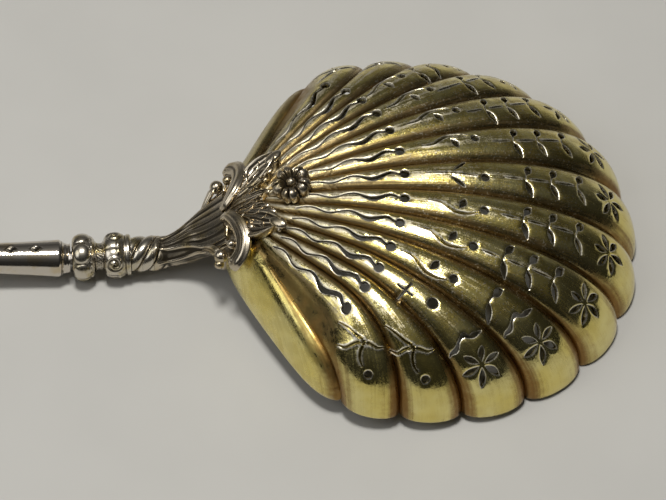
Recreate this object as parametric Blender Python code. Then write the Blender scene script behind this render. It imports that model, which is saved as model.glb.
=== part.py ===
"""Sugar sifter spoon lying face down: a pierced, fluted shell bowl on a built-up silver handle.

The length runs along +X from the finial to the bowl's tip, and Y = 0 is the middle plane. The bowl rests
on its front rim at Z = 0 and the handle on its melon knop. Sizes are in millimetres, angles in degrees,
and the meshes are written in metres.
"""

import math

import bmesh
import bpy
import numpy as np
from mathutils import Vector
from mathutils.geometry import delaunay_2d_cdt

MM = 0.001

# Driving dimensions of the bowl
OVERALL_LENGTH = 190.0
TIP_X = OVERALL_LENGTH / 2
BOWL_LENGTH = 69.5
BOWL_HEIGHT = 20.4
SHEET = 0.9
FLUTE_RISE = 2.0
VALLEY_SEMI_LENGTH = 36.2
VALLEY_SEMI_WIDTH = 33.2
VALLEY_FULLNESS = 2.12
OUTLINE_X = TIP_X - FLUTE_RISE - VALLEY_SEMI_LENGTH
CROWN_X = TIP_X - 42.5
HINGE_X = TIP_X - BOWL_LENGTH
HINGE_HALF_WIDTH = 5.0
SHOULDER = (TIP_X - 56.9, 25.6)
CORNER_SHARPNESS = 16.0
OUTLINE_ROUNDS = 30
DOME_POWER = 2.35
DOME_POWER_SWING = 0.25
RIM_RISE = 6.0
RIM_RISE_POWER = 1.6
RIM_FLAT_X = TIP_X - 7.0

# The flutes radiate from the umbo, under the ornament
UMBO_X = TIP_X - 67.5
LOBE_ANGLE = 9.6
OUTER_LOBE = 6
LAST_VALLEY = (OUTER_LOBE + 0.5) * LOBE_ANGLE
FLUTE_REACH = 60.0
FLUTE_ROUNDNESS = 2.2
VALLEY_ROUNDING = 0.1
RIB_BOW = 1.2
RIB_BOW_POWER = 4
PANEL_HOLD_POWER = 9
RIB_ROUNDS = 12

# Handle: its axis is level through the knops, bends up into the neck and rises to the finial
AXIS_Z = 4.05
NECK_BEND_X = 15.0
NECK_BEND = 0.058
TUBE_MOUTH_X = -0.35
TUBE_TILT = 5.5
TANG_RADIUS = 1.1
BORE_RADIUS = 1.35
SEAT_GAP = 0.1

# What is threaded on the tang, by its two ends along the axis
MELON_X = (1.5, 5.3)
SPOOL_X = (5.3, 6.7)
ROSETTE_X = (6.7, 11.2)
RING_ONE_X = (11.35, 12.9)
RING_TWO_X = (13.1, 14.75)
NECK_X = 14.95


def material(name, colour, roughness, metallic):
    """A plain Principled finish."""
    made = bpy.data.materials.new(name)
    made.use_nodes = True
    shader = made.node_tree.nodes["Principled BSDF"]
    shader.inputs["Base Color"].default_value = (*colour, 1.0)
    shader.inputs["Roughness"].default_value = roughness
    shader.inputs["Metallic"].default_value = metallic
    return made


def add_object(name, bm, finish, smooth_angle=40.0):
    """Writes a bmesh in millimetres as a named object in metres, shaded smooth up to an angle."""
    bmesh.ops.scale(bm, vec=(MM, MM, MM), verts=bm.verts)
    bmesh.ops.recalc_face_normals(bm, faces=bm.faces)
    mesh = bpy.data.meshes.new(name)
    bm.to_mesh(mesh)
    bm.free()
    if finish:
        mesh.materials.append(finish)
    mesh.shade_smooth()
    mesh.set_sharp_from_angle(angle=math.radians(smooth_angle))
    made = bpy.data.objects.new(name, mesh)
    bpy.context.scene.collection.objects.link(made)
    return made


def place(made, x, z, tilt=0.0):
    """Sets a piece that was modelled along +X at a point of the middle plane, its -X end tilted up."""
    made.location = (x * MM, 0.0, z * MM)
    made.rotation_euler = (0.0, math.radians(tilt), 0.0)
    return made


def cut(target, cutter):
    """Subtracts a hidden cutter from a piece."""
    cutter.hide_render = True
    cutter.display_type = "WIRE"
    modifier = target.modifiers.new("cut", "BOOLEAN")
    modifier.operation = "DIFFERENCE"
    modifier.object = cutter


# Bowl: the raised sheet


def outline_reach(angle):
    """Distance from the crown to the valley rim: the soft least of a full oval, two chords and the hinge."""
    c, s = np.cos(angle), np.abs(np.sin(angle))
    oval = np.full(np.shape(angle), VALLEY_SEMI_WIDTH)
    for _ in range(OUTLINE_ROUNDS):
        along = np.abs(CROWN_X - OUTLINE_X + oval * c) / VALLEY_SEMI_LENGTH
        size = along**VALLEY_FULLNESS + (oval * s / VALLEY_SEMI_WIDTH) ** VALLEY_FULLNESS
        oval = oval * size ** (-1.0 / VALLEY_FULLNESS)
    start = np.array([HINGE_X - CROWN_X, HINGE_HALF_WIDTH])
    along = np.array(SHOULDER) - np.array([CROWN_X, 0.0]) - start
    normal = np.array([-along[1], along[0]]) / np.hypot(*along)
    chord = (c * normal[0] + s * normal[1]) / (normal @ start)
    closeness = np.stack([1.0 / oval, chord, c / start[0]])
    return (np.clip(closeness, 0.0, None) ** CORNER_SHARPNESS).sum(axis=0) ** (-1.0 / CORNER_SHARPNESS)


def rim_share(x, y):
    """0 at the crown, 1 on the valley rim."""
    return np.hypot(x - CROWN_X, y) / outline_reach(np.arctan2(y, x - CROWN_X))


def dome_power(x, y):
    """The dome falls off roundly towards the tip and more squarely towards the hinge."""
    return DOME_POWER - DOME_POWER_SWING * (x - CROWN_X) / np.maximum(np.hypot(x - CROWN_X, y), 1e-6)


def rim_height(x):
    """The rim lies flat at the front and lifts towards the hinge."""
    share = np.clip((RIM_FLAT_X - x) / (RIM_FLAT_X - HINGE_X), 0.0, 1.0)
    return RIM_RISE * share**RIM_RISE_POWER


def rib_bow(x, y):
    """How far the ribs bow towards the middle: most on the outer lobes, not at all on the rim."""
    turn = np.minimum(np.abs(np.degrees(np.arctan2(y, x - UMBO_X))) / LAST_VALLEY, 1.0)
    inside = np.clip(1.0 - rim_share(x, y), 0.0, 1.0)
    return 1.0 + RIB_BOW * inside * turn**RIB_BOW_POWER * (1.0 - turn**PANEL_HOLD_POWER)


def crest(x, y):
    """How far the crests stand out from the valleys: a sine of the reach that levels off near the rim."""
    share = np.minimum(np.hypot(x - UMBO_X, y) / FLUTE_REACH, 1.0)
    return FLUTE_RISE * np.sin(np.pi / 2 * share)


def flute(x, y):
    """How far the flutes stand out: full arcs between narrow valleys, and a plain panel on each side."""
    lobe = np.abs(np.degrees(np.arctan2(y, x - UMBO_X))) / LOBE_ANGLE * rib_bow(x, y)
    across = np.where(lobe > OUTER_LOBE + 1, 0.0, 2.0 * np.abs(lobe - np.round(lobe)))
    arc = (1.0 - across**FLUTE_ROUNDNESS) ** (1.0 / FLUTE_ROUNDNESS)
    arc = np.hypot(arc, VALLEY_ROUNDING) - VALLEY_ROUNDING
    return crest(x, y) * arc / (np.hypot(1.0, VALLEY_ROUNDING) - VALLEY_ROUNDING)


def raised(x, y, lift=0.0, fluted=True):
    """Points of the sheet's outer face over plan points, and the dome's own outward normals there."""
    x, y = np.asarray(x, float), np.asarray(y, float)
    share = np.minimum(rim_share(x, y), 1.0)
    power = dome_power(x, y)
    up = (1.0 - share**power) ** (1.0 / power)
    foot = rim_height(x)
    step = 0.02
    slope_x = (rim_share(x + step, y) - rim_share(x - step, y)) / (2 * step)
    slope_y = (rim_share(x, y + step) - rim_share(x, y - step)) / (2 * step)
    side = share ** (power - 1.0)
    normal = np.stack([side * slope_x, side * slope_y, up ** (power - 1.0) / (BOWL_HEIGHT - foot)], -1)
    normal /= np.linalg.norm(normal, axis=-1, keepdims=True)
    stand = flute(x, y) if fluted else crest(x, y)
    base = np.stack([x, y, foot + (BOWL_HEIGHT - foot) * up], -1)
    return base + normal * np.asarray(stand + lift)[..., None], normal


def flat_pattern(x, y):
    """The plan stretched towards the rim, so that the sheet can be laid out flat."""
    share = np.minimum(rim_share(x, y), 1.0)
    stretch = np.arcsin(share ** (dome_power(x, y) / 2)) / np.maximum(share, 1e-6)
    return np.stack([(x - CROWN_X) * stretch, y * stretch], -1)


def ray_reach(degrees):
    """Distance from the umbo to the valley rim along rays, by bisection."""
    angle = np.radians(np.asarray(degrees, float))
    near, far = np.full(angle.shape, 20.0), np.full(angle.shape, BOWL_LENGTH + 10.0)
    for _ in range(40):
        middle = (near + far) / 2
        inside = rim_share(UMBO_X + middle * np.cos(angle), middle * np.sin(angle)) < 1.0
        near, far = np.where(inside, middle, near), np.where(inside, far, middle)
    return near


def rib_angle(lobe, reach):
    """Direction of the bowed ribs from the umbo: whole lobes are crests and halves are valleys."""
    reach = np.asarray(reach, float)
    straight = np.radians(lobe * LOBE_ANGLE)
    angle = straight
    for _ in range(RIB_ROUNDS):
        angle = straight / rib_bow(UMBO_X + reach * np.cos(angle), reach * np.sin(angle))
    return angle


def on_lobe(lobe, reach, side):
    """Plan points at a reach along a lobe's crest and a distance to its +Y side."""
    angle = rib_angle(lobe, reach) + np.asarray(side) / np.asarray(reach)
    return np.stack([UMBO_X + reach * np.cos(angle), reach * np.sin(angle)], -1)


# Bowl: the piercings, as outlines on the plan

SLOT_START = 13.0
SLOT_END = 27.7
SLOT_WAVE = 6.5
SLOT_PEAK = 26.6
SLOT_SWING = (0.3, 0.55)
SLOT_HALF_WIDTH = (0.12, 0.4)
SLOT_STATIONS = 10
DOT_REACH = 28.4
DOT_RADIUS = 0.75
DOT_OPENING = 120.0
DOT_STATIONS = 6
MID_LEAF = ((-0.3, 0.3), (0.5, 1.7))
MID_LEAF_WIDTH = 1.0
MID_LEAF_SHARE = 0.25
MID_HOLE_SHARE = 0.36
MID_HOLE_RADIUS = 0.62
CROSS_LOBE = -4
CROSS_SHARE = 0.2
CROSS_HOLE_SHARE = 0.44
CROSS_ARMS = (1.5, 1.25)
CROSS_HALF_WIDTH = 0.17
SPRIG_SHARES = (0.74, 0.805, 0.865)
SPRIG_COUNTS = (3, 3, 3, 1)
SPRIG_SMALL_LEAF = ((-0.3, 0.55), (0.3, 1.9), 0.8)
SPRIG_LONG_LEAF = ((0.1, -0.6), (0.9, -2.9), 0.85)
FLOWER_SHARE = 0.945
FLOWER_LOBES = 4
FLOWER_PETALS = 6
PETAL_ENDS = (0.5, 2.95)
PETAL_WIDTH = 1.05
LEAF_BELLY = 0.55
SIDE_HOLE_SHARE = 0.965


def slot_outline(lobe):
    """A wavy slot that widens along the lobe and runs into a round hole."""
    share = np.linspace(0.0, 1.0, SLOT_STATIONS)
    reach = SLOT_START + (SLOT_END - SLOT_START) * share
    swing = np.interp(share, (0.0, 1.0), SLOT_SWING) * np.cos(2 * np.pi * (reach - SLOT_PEAK) / SLOT_WAVE)
    half = np.interp(share, (0.0, 1.0), SLOT_HALF_WIDTH)
    swing[-1] = 0.0
    turn = np.radians(np.linspace(DOT_OPENING, -DOT_OPENING, DOT_STATIONS))
    dot = on_lobe(lobe, DOT_REACH + DOT_RADIUS * np.cos(turn), DOT_RADIUS * np.sin(turn))
    left, right = on_lobe(lobe, reach, swing + half), on_lobe(lobe, reach, swing - half)
    return np.concatenate([left, dot, right[::-1]])


def surface_scale(lobe, reach, along, side):
    """Plan length in one direction on a lobe for each millimetre of sloping surface."""
    steps = np.array([-0.2, 0.2])
    ends = on_lobe(lobe, reach + along * steps, side * steps)
    points, _ = raised(ends[:, 0], ends[:, 1], fluted=False)
    return np.ptp(steps) / np.linalg.norm(points[1] - points[0])


def motif(lobe, reach, along, side):
    """An outline drawn in millimetres on the surface, set on a lobe at a reach."""
    along = np.asarray(along) * surface_scale(lobe, reach, 1.0, 0.0)
    return on_lobe(lobe, reach + along, np.asarray(side) * surface_scale(lobe, reach, 0.0, 1.0))


def round_outline(lobe, reach, radius, sides=8):
    turn = np.linspace(0.0, 2 * np.pi, sides, endpoint=False)
    return motif(lobe, reach, radius * np.cos(turn), radius * np.sin(turn))


def leaf_outline(lobe, reach, root, tip, width):
    """A pointed leaf between two points given along and across the lobe."""
    root, tip = np.array(root), np.array(tip)
    middle = (1.0 - LEAF_BELLY) * root + LEAF_BELLY * tip
    half = np.array([root[1] - tip[1], tip[0] - root[0]]) / np.hypot(*(tip - root)) * width / 2
    points = np.array([root, middle + half, tip, middle - half])
    return motif(lobe, reach, points[:, 0], points[:, 1])


def cross_outline(lobe, reach):
    """A plain cross, its longer arms along the lobe."""
    corner = CROSS_HALF_WIDTH
    quarter = np.array([(CROSS_ARMS[0], corner), (corner, corner), (corner, CROSS_ARMS[1])])
    half = np.concatenate([quarter, quarter[::-1] * [-1.0, 1.0]])
    points = np.concatenate([half, half[::-1] * [1.0, -1.0]])
    return motif(lobe, reach, points[:, 0], points[:, 1])


def flower_outlines(lobe, reach):
    """Six separate petals about a solid middle."""
    turn = np.linspace(0.0, 2 * np.pi, FLOWER_PETALS, endpoint=False)
    course = np.stack([np.cos(turn), np.sin(turn)], -1)
    root, tip = PETAL_ENDS
    return [leaf_outline(lobe, reach, root * way, tip * way, PETAL_WIDTH) for way in course]


def sprig_outlines(lobe, reach):
    """A small leaf on the +Y side and a long leaf on the -Y side."""
    return [leaf_outline(lobe, reach, *leaf) for leaf in (SPRIG_SMALL_LEAF, SPRIG_LONG_LEAF)]


def middle_outlines(lobe, start, length):
    """A leaf and a round hole halfway along a lobe, or on one lobe a cross and a round hole."""
    if lobe == CROSS_LOBE:
        hole = round_outline(lobe, start + CROSS_HOLE_SHARE * length, MID_HOLE_RADIUS)
        return [cross_outline(lobe, start + CROSS_SHARE * length), hole]
    ends = np.array(MID_LEAF) * [1.0, 1.0 if lobe <= 0 else -1.0]
    leaf = leaf_outline(lobe, start + MID_LEAF_SHARE * length, *ends, MID_LEAF_WIDTH)
    return [leaf, round_outline(lobe, start + MID_HOLE_SHARE * length, MID_HOLE_RADIUS)]


def turns_left(outline):
    following = np.roll(outline, -1, axis=0)
    return (outline[:, 0] * following[:, 1] - following[:, 0] * outline[:, 1]).sum() > 0


def piercings():
    """Every opening of the bowl as an outline on the plan."""
    found = []
    for lobe in range(-OUTER_LOBE, OUTER_LOBE + 1):
        rim = float(ray_reach(lobe * LOBE_ANGLE))
        found.append(slot_outline(lobe))
        if abs(lobe) > FLOWER_LOBES:
            found.append(round_outline(lobe, SIDE_HOLE_SHARE * rim, MID_HOLE_RADIUS))
            continue
        found.extend(middle_outlines(lobe, DOT_REACH, rim - DOT_REACH))
        found.extend(flower_outlines(lobe, FLOWER_SHARE * rim))
        if abs(lobe) < len(SPRIG_COUNTS):
            for share in SPRIG_SHARES[-SPRIG_COUNTS[abs(lobe)]:]:
                found.extend(sprig_outlines(lobe, share * rim))
    return [outline if turns_left(outline) else outline[::-1] for outline in found]


# Bowl: the sheet laid out, pierced and raised

COLUMNS_PER_LOBE = 4
ROWS = 13
ROW_GATHER = 0.95
GRID_START = 12.0
INNER_REACH = 7.0
SIDE_STEPS = 14
SIDE_SHARES = (0.97, 0.9, 0.8)
SIDE_CLEARANCE = 1.5
PIERCING_CLEARANCE = 0.35


def rib_points():
    """Plan points along the flutes, with the valley rows and the rim points kept in order."""
    edge = OUTER_LOBE + 0.5
    lobe = np.linspace(-edge, edge, round(2 * edge) * COLUMNS_PER_LOBE + 1)[:, None]
    row = np.sin(np.linspace(0.0, np.pi / 2, ROWS)) ** ROW_GATHER
    reach = GRID_START + (ray_reach(lobe * LOBE_ANGLE) - GRID_START) * row
    return on_lobe(lobe, reach, 0.0), on_lobe(lobe[::COLUMNS_PER_LOBE, 0], INNER_REACH, 0.0)


def side_points(corner):
    """Plan points of one side panel and its share of the hinge edge, up to the middle plane."""
    start = math.atan2(corner[1], corner[0] - CROWN_X)
    turn = np.linspace(start, math.pi, SIDE_STEPS + 1)[1:]
    spokes = np.stack([np.cos(turn), np.sin(turn)], -1) * outline_reach(turn)[:, None]
    inside = np.concatenate([share * spokes[:-1] for share in SIDE_SHARES]) + [CROWN_X, 0.0]
    past = np.degrees(np.arctan2(inside[:, 1], inside[:, 0] - UMBO_X)) > LAST_VALLEY + SIDE_CLEARANCE
    return spokes + [CROWN_X, 0.0], inside[past]


def inside_outline(points, outline):
    """Which points lie inside a closed outline, by counting crossings."""
    first, second = outline, np.roll(outline, -1, axis=0)
    x, y = points[:, :1], points[:, 1:]
    spans = (first[:, 1] > y) != (second[:, 1] > y)
    rise = np.where(second[:, 1] == first[:, 1], 1e-9, second[:, 1] - first[:, 1])
    crossing = first[:, 0] + (y - first[:, 1]) / rise * (second[:, 0] - first[:, 0])
    return ((spans & (x < crossing)).sum(axis=1) % 2).astype(bool)


def clear_of(points, outlines):
    """Which points keep their distance from every piercing."""
    keep = np.ones(len(points), bool)
    for outline in outlines:
        gap = np.linalg.norm(points[:, None] - outline[None], axis=-1).min(axis=1)
        keep &= ~inside_outline(points, outline) & (gap > PIERCING_CLEARANCE)
    return keep


def pierced_sheet():
    """Plan points and triangles of the pierced sheet."""
    grid, core = rib_points()
    holes = piercings()
    far_rim, far_inside = side_points(grid[-1, -1])
    near_rim = far_rim[:-1][::-1] * [1.0, -1.0]
    rim = np.concatenate([grid[:, -1], far_rim, near_rim])
    inner = grid[:, :-1].reshape(-1, 2)
    kept = np.where(clear_of(inner, holes))[0]
    points = np.concatenate([rim, inner[kept], core, far_inside, far_inside * [1.0, -1.0], *holes])
    outer_loop = list(range(len(rim)))
    place_of = {int(i): len(rim) + n for n, i in enumerate(kept)}
    valleys = []
    for column in range(0, len(grid), COLUMNS_PER_LOBE):
        start = column * (ROWS - 1)
        line = [place_of[i] for i in range(start, start + ROWS - 1) if i in place_of]
        valleys += list(zip(line, line[1:] + [column]))
    loops, at = [], len(points) - sum(map(len, holes))
    for hole in holes:
        loops.append(list(range(at, at + len(hole))))
        at += len(hole)
    flat = [Vector(p) for p in flat_pattern(points[:, 0], points[:, 1])]
    made = delaunay_2d_cdt(flat, valleys, [outer_loop, *loops], 1, 1e-6)
    source = [ids[0] for ids in made[3]]
    faces = [[source[v] for v in face] for face, owners in zip(made[2], made[5]) if owners == [0]]
    return points, faces


def build_bowl(finish):
    """The pierced sheet raised into the fluted dome and given its thickness inwards."""
    plan, faces = pierced_sheet()
    points, normals = raised(plan[:, 0], plan[:, 1])
    bm = bmesh.new()
    outer = [bm.verts.new(p) for p in points]
    sheet = [bm.faces.new([outer[v] for v in face]) for face in faces]
    bmesh.ops.delete(bm, geom=[v for v in bm.verts if not v.link_faces], context="VERTS")
    inward = {v: Vector(n) * -SHEET for v, n in zip(outer, normals) if v.is_valid}
    copies = bmesh.ops.duplicate(bm, geom=bm.verts[:] + bm.edges[:] + sheet)
    twin = copies["vert_map"]
    edges = [e for e in copies["geom"] if isinstance(e, bmesh.types.BMEdge) and e.is_boundary]
    rim_edges = [e for e in bm.edges if e.is_boundary and e not in set(edges)]
    for edge in rim_edges:
        first, second = edge.verts
        bm.faces.new([first, second, twin[second], twin[first]])
    for vert, shift in inward.items():
        twin[vert].co += shift
    return add_object("shell_bowl", bm, finish, 50.0)


# Handle: turned and swept forms

PLAIN_RADIUS = BORE_RADIUS + 0.5


def add_grid(bm, points, around=True, closed=False):
    """Faces over a grid of points, whose columns may join around and whose rows may close."""
    verts = [[bm.verts.new(p) for p in row] for row in points]
    rows, columns = len(verts), len(verts[0])
    for i in range(rows if closed else rows - 1):
        for j in range(columns if around else columns - 1):
            below, beside = (i + 1) % rows, (j + 1) % columns
            bm.faces.new([verts[i][j], verts[below][j], verts[below][beside], verts[i][beside]])
    return verts


def turned(name, profile, finish, sides=24, lobes=0, lobe_depth=0.0, twist=0.0, phase=0.0):
    """A closed profile of (x, radius) points turned about X, its outside gathered into lobes."""
    x, radius = np.array(profile, float).T
    turn = np.linspace(0.0, 2 * np.pi, sides, endpoint=False)
    gather = 1.0 - np.abs(np.cos(lobes / 2 * turn[None, :] + twist * x[:, None] + phase))
    outside = np.clip((radius - PLAIN_RADIUS) / (radius.max() - PLAIN_RADIUS), 0.0, 1.0)
    swell = radius[:, None] * (1.0 - lobe_depth * gather * outside[:, None])
    along = np.broadcast_to(x[:, None], swell.shape)
    bm = bmesh.new()
    add_grid(bm, np.stack([along, swell * np.cos(turn), swell * np.sin(turn)], -1), closed=True)
    bmesh.ops.remove_doubles(bm, verts=bm.verts, dist=1e-4)
    return add_object(name, bm, finish)


def swept(path, radii, across, sides=8):
    """A tube of changing radius along a path, with flat ends. The path never runs along across."""
    path = np.asarray(path, float)
    along = np.gradient(path, axis=0)
    side = np.cross(along, across)
    side /= np.linalg.norm(side, axis=1, keepdims=True)
    over = np.cross(side, along)
    over /= np.linalg.norm(over, axis=1, keepdims=True)
    turn = np.linspace(0.0, 2 * np.pi, sides, endpoint=False)[None, :, None]
    ring = side[:, None] * np.cos(turn) + over[:, None] * np.sin(turn)
    bm = bmesh.new()
    verts = add_grid(bm, path[:, None] + np.asarray(radii)[:, None, None] * ring)
    bm.faces.new(verts[0])
    bm.faces.new(verts[-1])
    return bm


def smooth_path(points, steps):
    """A curve that passes through hand-set points, read at even steps."""
    points = np.array(points, float)
    padded = np.concatenate([2 * points[:1] - points[1:2], points, 2 * points[-1:] - points[-2:-1]])
    at = np.linspace(0.0, len(points) - 1 - 1e-9, steps)
    index, t = at.astype(int), (at % 1.0)[:, None]
    p0, p1, p2, p3 = (padded[index + k] for k in range(4))
    bend = (2 * p0 - 5 * p1 + 4 * p2 - p3) * t**2 + (3 * p1 - p0 - 3 * p2 + p3) * t**3
    return p1 + 0.5 * ((p2 - p0) * t + bend)


def axis_height(x):
    """Height of the handle's axis, from the knops into the neck."""
    return AXIS_Z + NECK_BEND * np.maximum(np.asarray(x, float) - NECK_BEND_X, 0.0) ** 2


def axis_slope(x):
    return 2 * NECK_BEND * max(x - NECK_BEND_X, 0.0)


def thread_on(made, ends):
    """Places a turned piece between two points along the handle's axis."""
    middle = sum(ends) / 2
    return place(made, middle, float(axis_height(middle)), -math.degrees(math.atan(axis_slope(middle))))


def half_length(ends):
    return (ends[1] - ends[0] - SEAT_GAP) / 2


# Handle: the knops, rings and spool on the tang

MELON_RADIUS = 4.0
MELON_FOOT = 2.4
GADROON_DEPTH = 0.12
MELON_GADROONS = 6
ROSETTE_RADIUS = 3.75
ROSETTE_EYES = 6
ROSETTE_PROFILE = (
    (-1.0, 0.6),
    (-0.88, 0.8),
    (-0.5, 0.97),
    (-0.1, 1.0),
    (0.2, 0.93),
    (0.27, 0.84),
    (0.36, 0.94),
    (0.7, 0.97),
    (0.93, 0.9),
    (1.0, 0.75),
)
RING_RADIUS = 2.95
RING_STRANDS = 4
STRAND_SPACING = 2.2
STRAND_DEPTH = 0.2
STRAND_PHASE = -0.42
RING_ROWS = 6
RING_SIDES = 28
SPOOL_RADIUS = 2.1


def build_melon_knop(finish):
    """Six egg-shaped gadroons, with a small rolled edge on the bowl's side."""
    half = half_length(MELON_X)
    turn = np.linspace(0.0, np.pi, 9)
    x = -half * (0.14 + 0.82 * np.cos(turn))
    radius = MELON_FOOT + (MELON_RADIUS - MELON_FOOT) * np.sin(turn)
    edge = [(half * 0.72, 3.0), (half * 0.95, 2.9), (half, 2.5)]
    profile = [(-half, BORE_RADIUS), (-half, 2.2), *zip(x, radius), *edge, (half, BORE_RADIUS)]
    knop = turned("melon_knop", profile, finish, 5 * MELON_GADROONS, MELON_GADROONS, GADROON_DEPTH)
    return thread_on(knop, MELON_X)


def build_rosette_knop(finish):
    """A knop of six eyes with a groove that parts off a narrower moulding."""
    half = half_length(ROSETTE_X)
    outside = [(half * x, ROSETTE_RADIUS * r) for x, r in ROSETTE_PROFILE]
    profile = [(-half, BORE_RADIUS), *outside, (half, BORE_RADIUS)]
    knop = turned("rosette_knop", profile, finish, 5 * ROSETTE_EYES, ROSETTE_EYES, GADROON_DEPTH)
    return thread_on(knop, ROSETTE_X)


def build_waist_spool(finish):
    half = half_length(SPOOL_X)
    outside = [(-half, 2.5), (-half * 0.6, SPOOL_RADIUS), (half * 0.6, SPOOL_RADIUS), (half, 2.4)]
    profile = [(-half, BORE_RADIUS), *outside, (half, BORE_RADIUS)]
    return thread_on(turned("waist_spool", profile, finish, 20), SPOOL_X)


def build_twist_ring(name, ends, finish):
    """A length of four twisted strands. The strands run on from one ring to the next."""
    x = np.linspace(ends[0] + SEAT_GAP / 2, ends[1] - SEAT_GAP / 2, RING_ROWS)
    outside = [(v, RING_RADIUS) for v in x]
    profile = [(x[0], BORE_RADIUS), *outside, (x[-1], BORE_RADIUS)]
    twist = np.pi / STRAND_SPACING
    ring = turned(name, profile, finish, RING_SIDES, RING_STRANDS, STRAND_DEPTH, twist, STRAND_PHASE)
    return place(ring, 0.0, AXIS_Z)


def build_tang(finish):
    """A rod from inside the neck, through everything threaded on it, and on up the tube."""
    inside = np.linspace(NECK_X + 4.5, TUBE_MOUTH_X + 1.0, 10)
    tube = np.linspace(1.0, FILLER_SPAN[1] - 2.0, 6)
    x = np.concatenate([inside, TUBE_MOUTH_X - tube * math.cos(math.radians(TUBE_TILT))])
    z = np.concatenate([axis_height(inside), AXIS_Z + tube * math.sin(math.radians(TUBE_TILT))])
    path = np.stack([x, np.zeros_like(x), z], -1)
    return add_object("tang_rod", swept(path, np.full(len(x), TANG_RADIUS), (0.0, 1.0, 0.0)), finish)


# Handle: the tube and its end

TUBE_MOUTH_RADIUS = 3.15
TUBE_FAR_RADIUS = 2.0
TUBE_FLARE = 15.0
TUBE_WALL = 0.5
TUBE_LENGTH = 79.0
FILLER_SPAN = (4.0, 58.0)
FILLER_GAP = 0.15
COLLAR_SPIGOT = 3.0
END_COLLAR_LENGTH = 2.0
FINIAL_SPIGOT = 6.0
FINIAL_SPIGOT_RADIUS = 1.2
FINIAL_PROFILE = (
    (0.0, 1.7),
    (0.1, 1.7),
    (0.2, 2.5),
    (0.36, 3.1),
    (0.5, 3.0),
    (0.66, 2.2),
    (0.78, 1.3),
    (0.82, 1.0),
    (0.87, 1.35),
    (0.93, 1.4),
    (0.98, 0.8),
    (1.0, 0.0),
)
HANDLE_LENGTH = (TIP_X + TUBE_MOUTH_X) / math.cos(math.radians(TUBE_TILT))


def tube_radius(along):
    """The tube tapers quickly from its mouth and then hardly at all."""
    flare = np.exp(-np.asarray(along) / TUBE_FLARE)
    return TUBE_FAR_RADIUS + (TUBE_MOUTH_RADIUS - TUBE_FAR_RADIUS) * flare


def on_tube(made):
    """Places a piece that was modelled from the tube's mouth along -X."""
    return place(made, TUBE_MOUTH_X, AXIS_Z, TUBE_TILT)


def build_handle_tube(finish):
    along = np.array([0.0, 0.4, 5.0, 10.0, 18.0, 32.0, 55.0, TUBE_LENGTH])
    outside = [(-a, r) for a, r in zip(along, tube_radius(along) - [0.25, 0, 0, 0, 0, 0, 0, 0])]
    inside = [(-a, r - TUBE_WALL) for a, r in zip(along, tube_radius(along))][::-1]
    return on_tube(turned("handle_tube", outside + inside, finish, 20))


def build_tube_collar(finish):
    """A bead and two hollows before the tube's mouth, with a spigot inside it."""
    spigot = float(tube_radius(COLLAR_SPIGOT)) - TUBE_WALL - FILLER_GAP
    outside = [(1.45, 2.55), (1.25, 2.35), (1.05, 2.5), (0.75, 2.5), (0.55, 2.3), (0.2, 2.7), (0.08, 2.7)]
    inside = [(0.08, spigot), (-COLLAR_SPIGOT, spigot), (-COLLAR_SPIGOT, BORE_RADIUS)]
    profile = [(1.45, BORE_RADIUS), *outside, *inside]
    return on_tube(turned("tube_collar", profile, finish, 20))


def build_pitch_filler(finish):
    along = np.array([FILLER_SPAN[0], 10.0, 18.0, 32.0, FILLER_SPAN[1]])
    outside = [(-a, r) for a, r in zip(along, tube_radius(along) - TUBE_WALL - FILLER_GAP)]
    bore = TANG_RADIUS + FILLER_GAP
    return on_tube(turned("pitch_filler", [*outside, (-along[-1], bore), (-along[0], bore)], finish, 16))


def build_end_collar(finish):
    start = -TUBE_LENGTH - SEAT_GAP
    end = start - END_COLLAR_LENGTH
    outside = [(start, 2.1), (start - 0.4, 2.7), (start - 1.0, 2.9), (end + 0.5, 2.5), (end, 1.9)]
    profile = [(start, BORE_RADIUS), *outside, (end, BORE_RADIUS)]
    return on_tube(turned("end_collar", profile, finish, 24))


def build_end_finial(finish):
    """A gadrooned bud with a ball tip, on a spigot that enters the tube."""
    start = -TUBE_LENGTH - 2 * SEAT_GAP - END_COLLAR_LENGTH
    length = HANDLE_LENGTH + start
    bud = [(start - length * x, r) for x, r in FINIAL_PROFILE]
    root = -TUBE_LENGTH + FINIAL_SPIGOT
    profile = [(root, 0.0), (root, FINIAL_SPIGOT_RADIUS), (start, FINIAL_SPIGOT_RADIUS), *bud]
    finial = turned("end_finial", profile, finish, 4 * MELON_GADROONS, MELON_GADROONS, GADROON_DEPTH)
    return on_tube(finial)


# Mount on the bowl's back: neck, scrolls, leaves and flower

ORNAMENT_GAP = 0.15
NECK_STATIONS = (
    (14.95, 2.45, 2.45),
    (17.1, 2.8, 2.5),
    (20.5, 3.1, 2.6),
    (22.6, 3.7, 2.6),
    (24.1, 4.9, 2.4),
    (26.5, 5.6, 1.9),
)
NECK_SECTIONS = 10
NECK_SIDES = 20


def build_neck(finish):
    """Oval sections along the rising axis, widening where the neck meets the bowl."""
    x = np.linspace(NECK_STATIONS[0][0], NECK_STATIONS[-1][0], NECK_SECTIONS)
    at, wide, thick = np.array(NECK_STATIONS).T
    wide, thick = np.interp(x, at, wide), np.interp(x, at, thick)
    lean = np.arctan([axis_slope(v) for v in x])
    turn = np.linspace(0.0, 2 * np.pi, NECK_SIDES, endpoint=False)
    up = thick[:, None] * np.sin(turn)
    points = np.stack([
        x[:, None] - up * np.sin(lean)[:, None],
        wide[:, None] * np.cos(turn),
        axis_height(x)[:, None] + up * np.cos(lean)[:, None],
    ], -1)
    bm = bmesh.new()
    verts = add_grid(bm, points)
    bm.faces.new(verts[0])
    bm.faces.new(verts[-1])
    return add_object("neck_mount", bm, finish)


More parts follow.
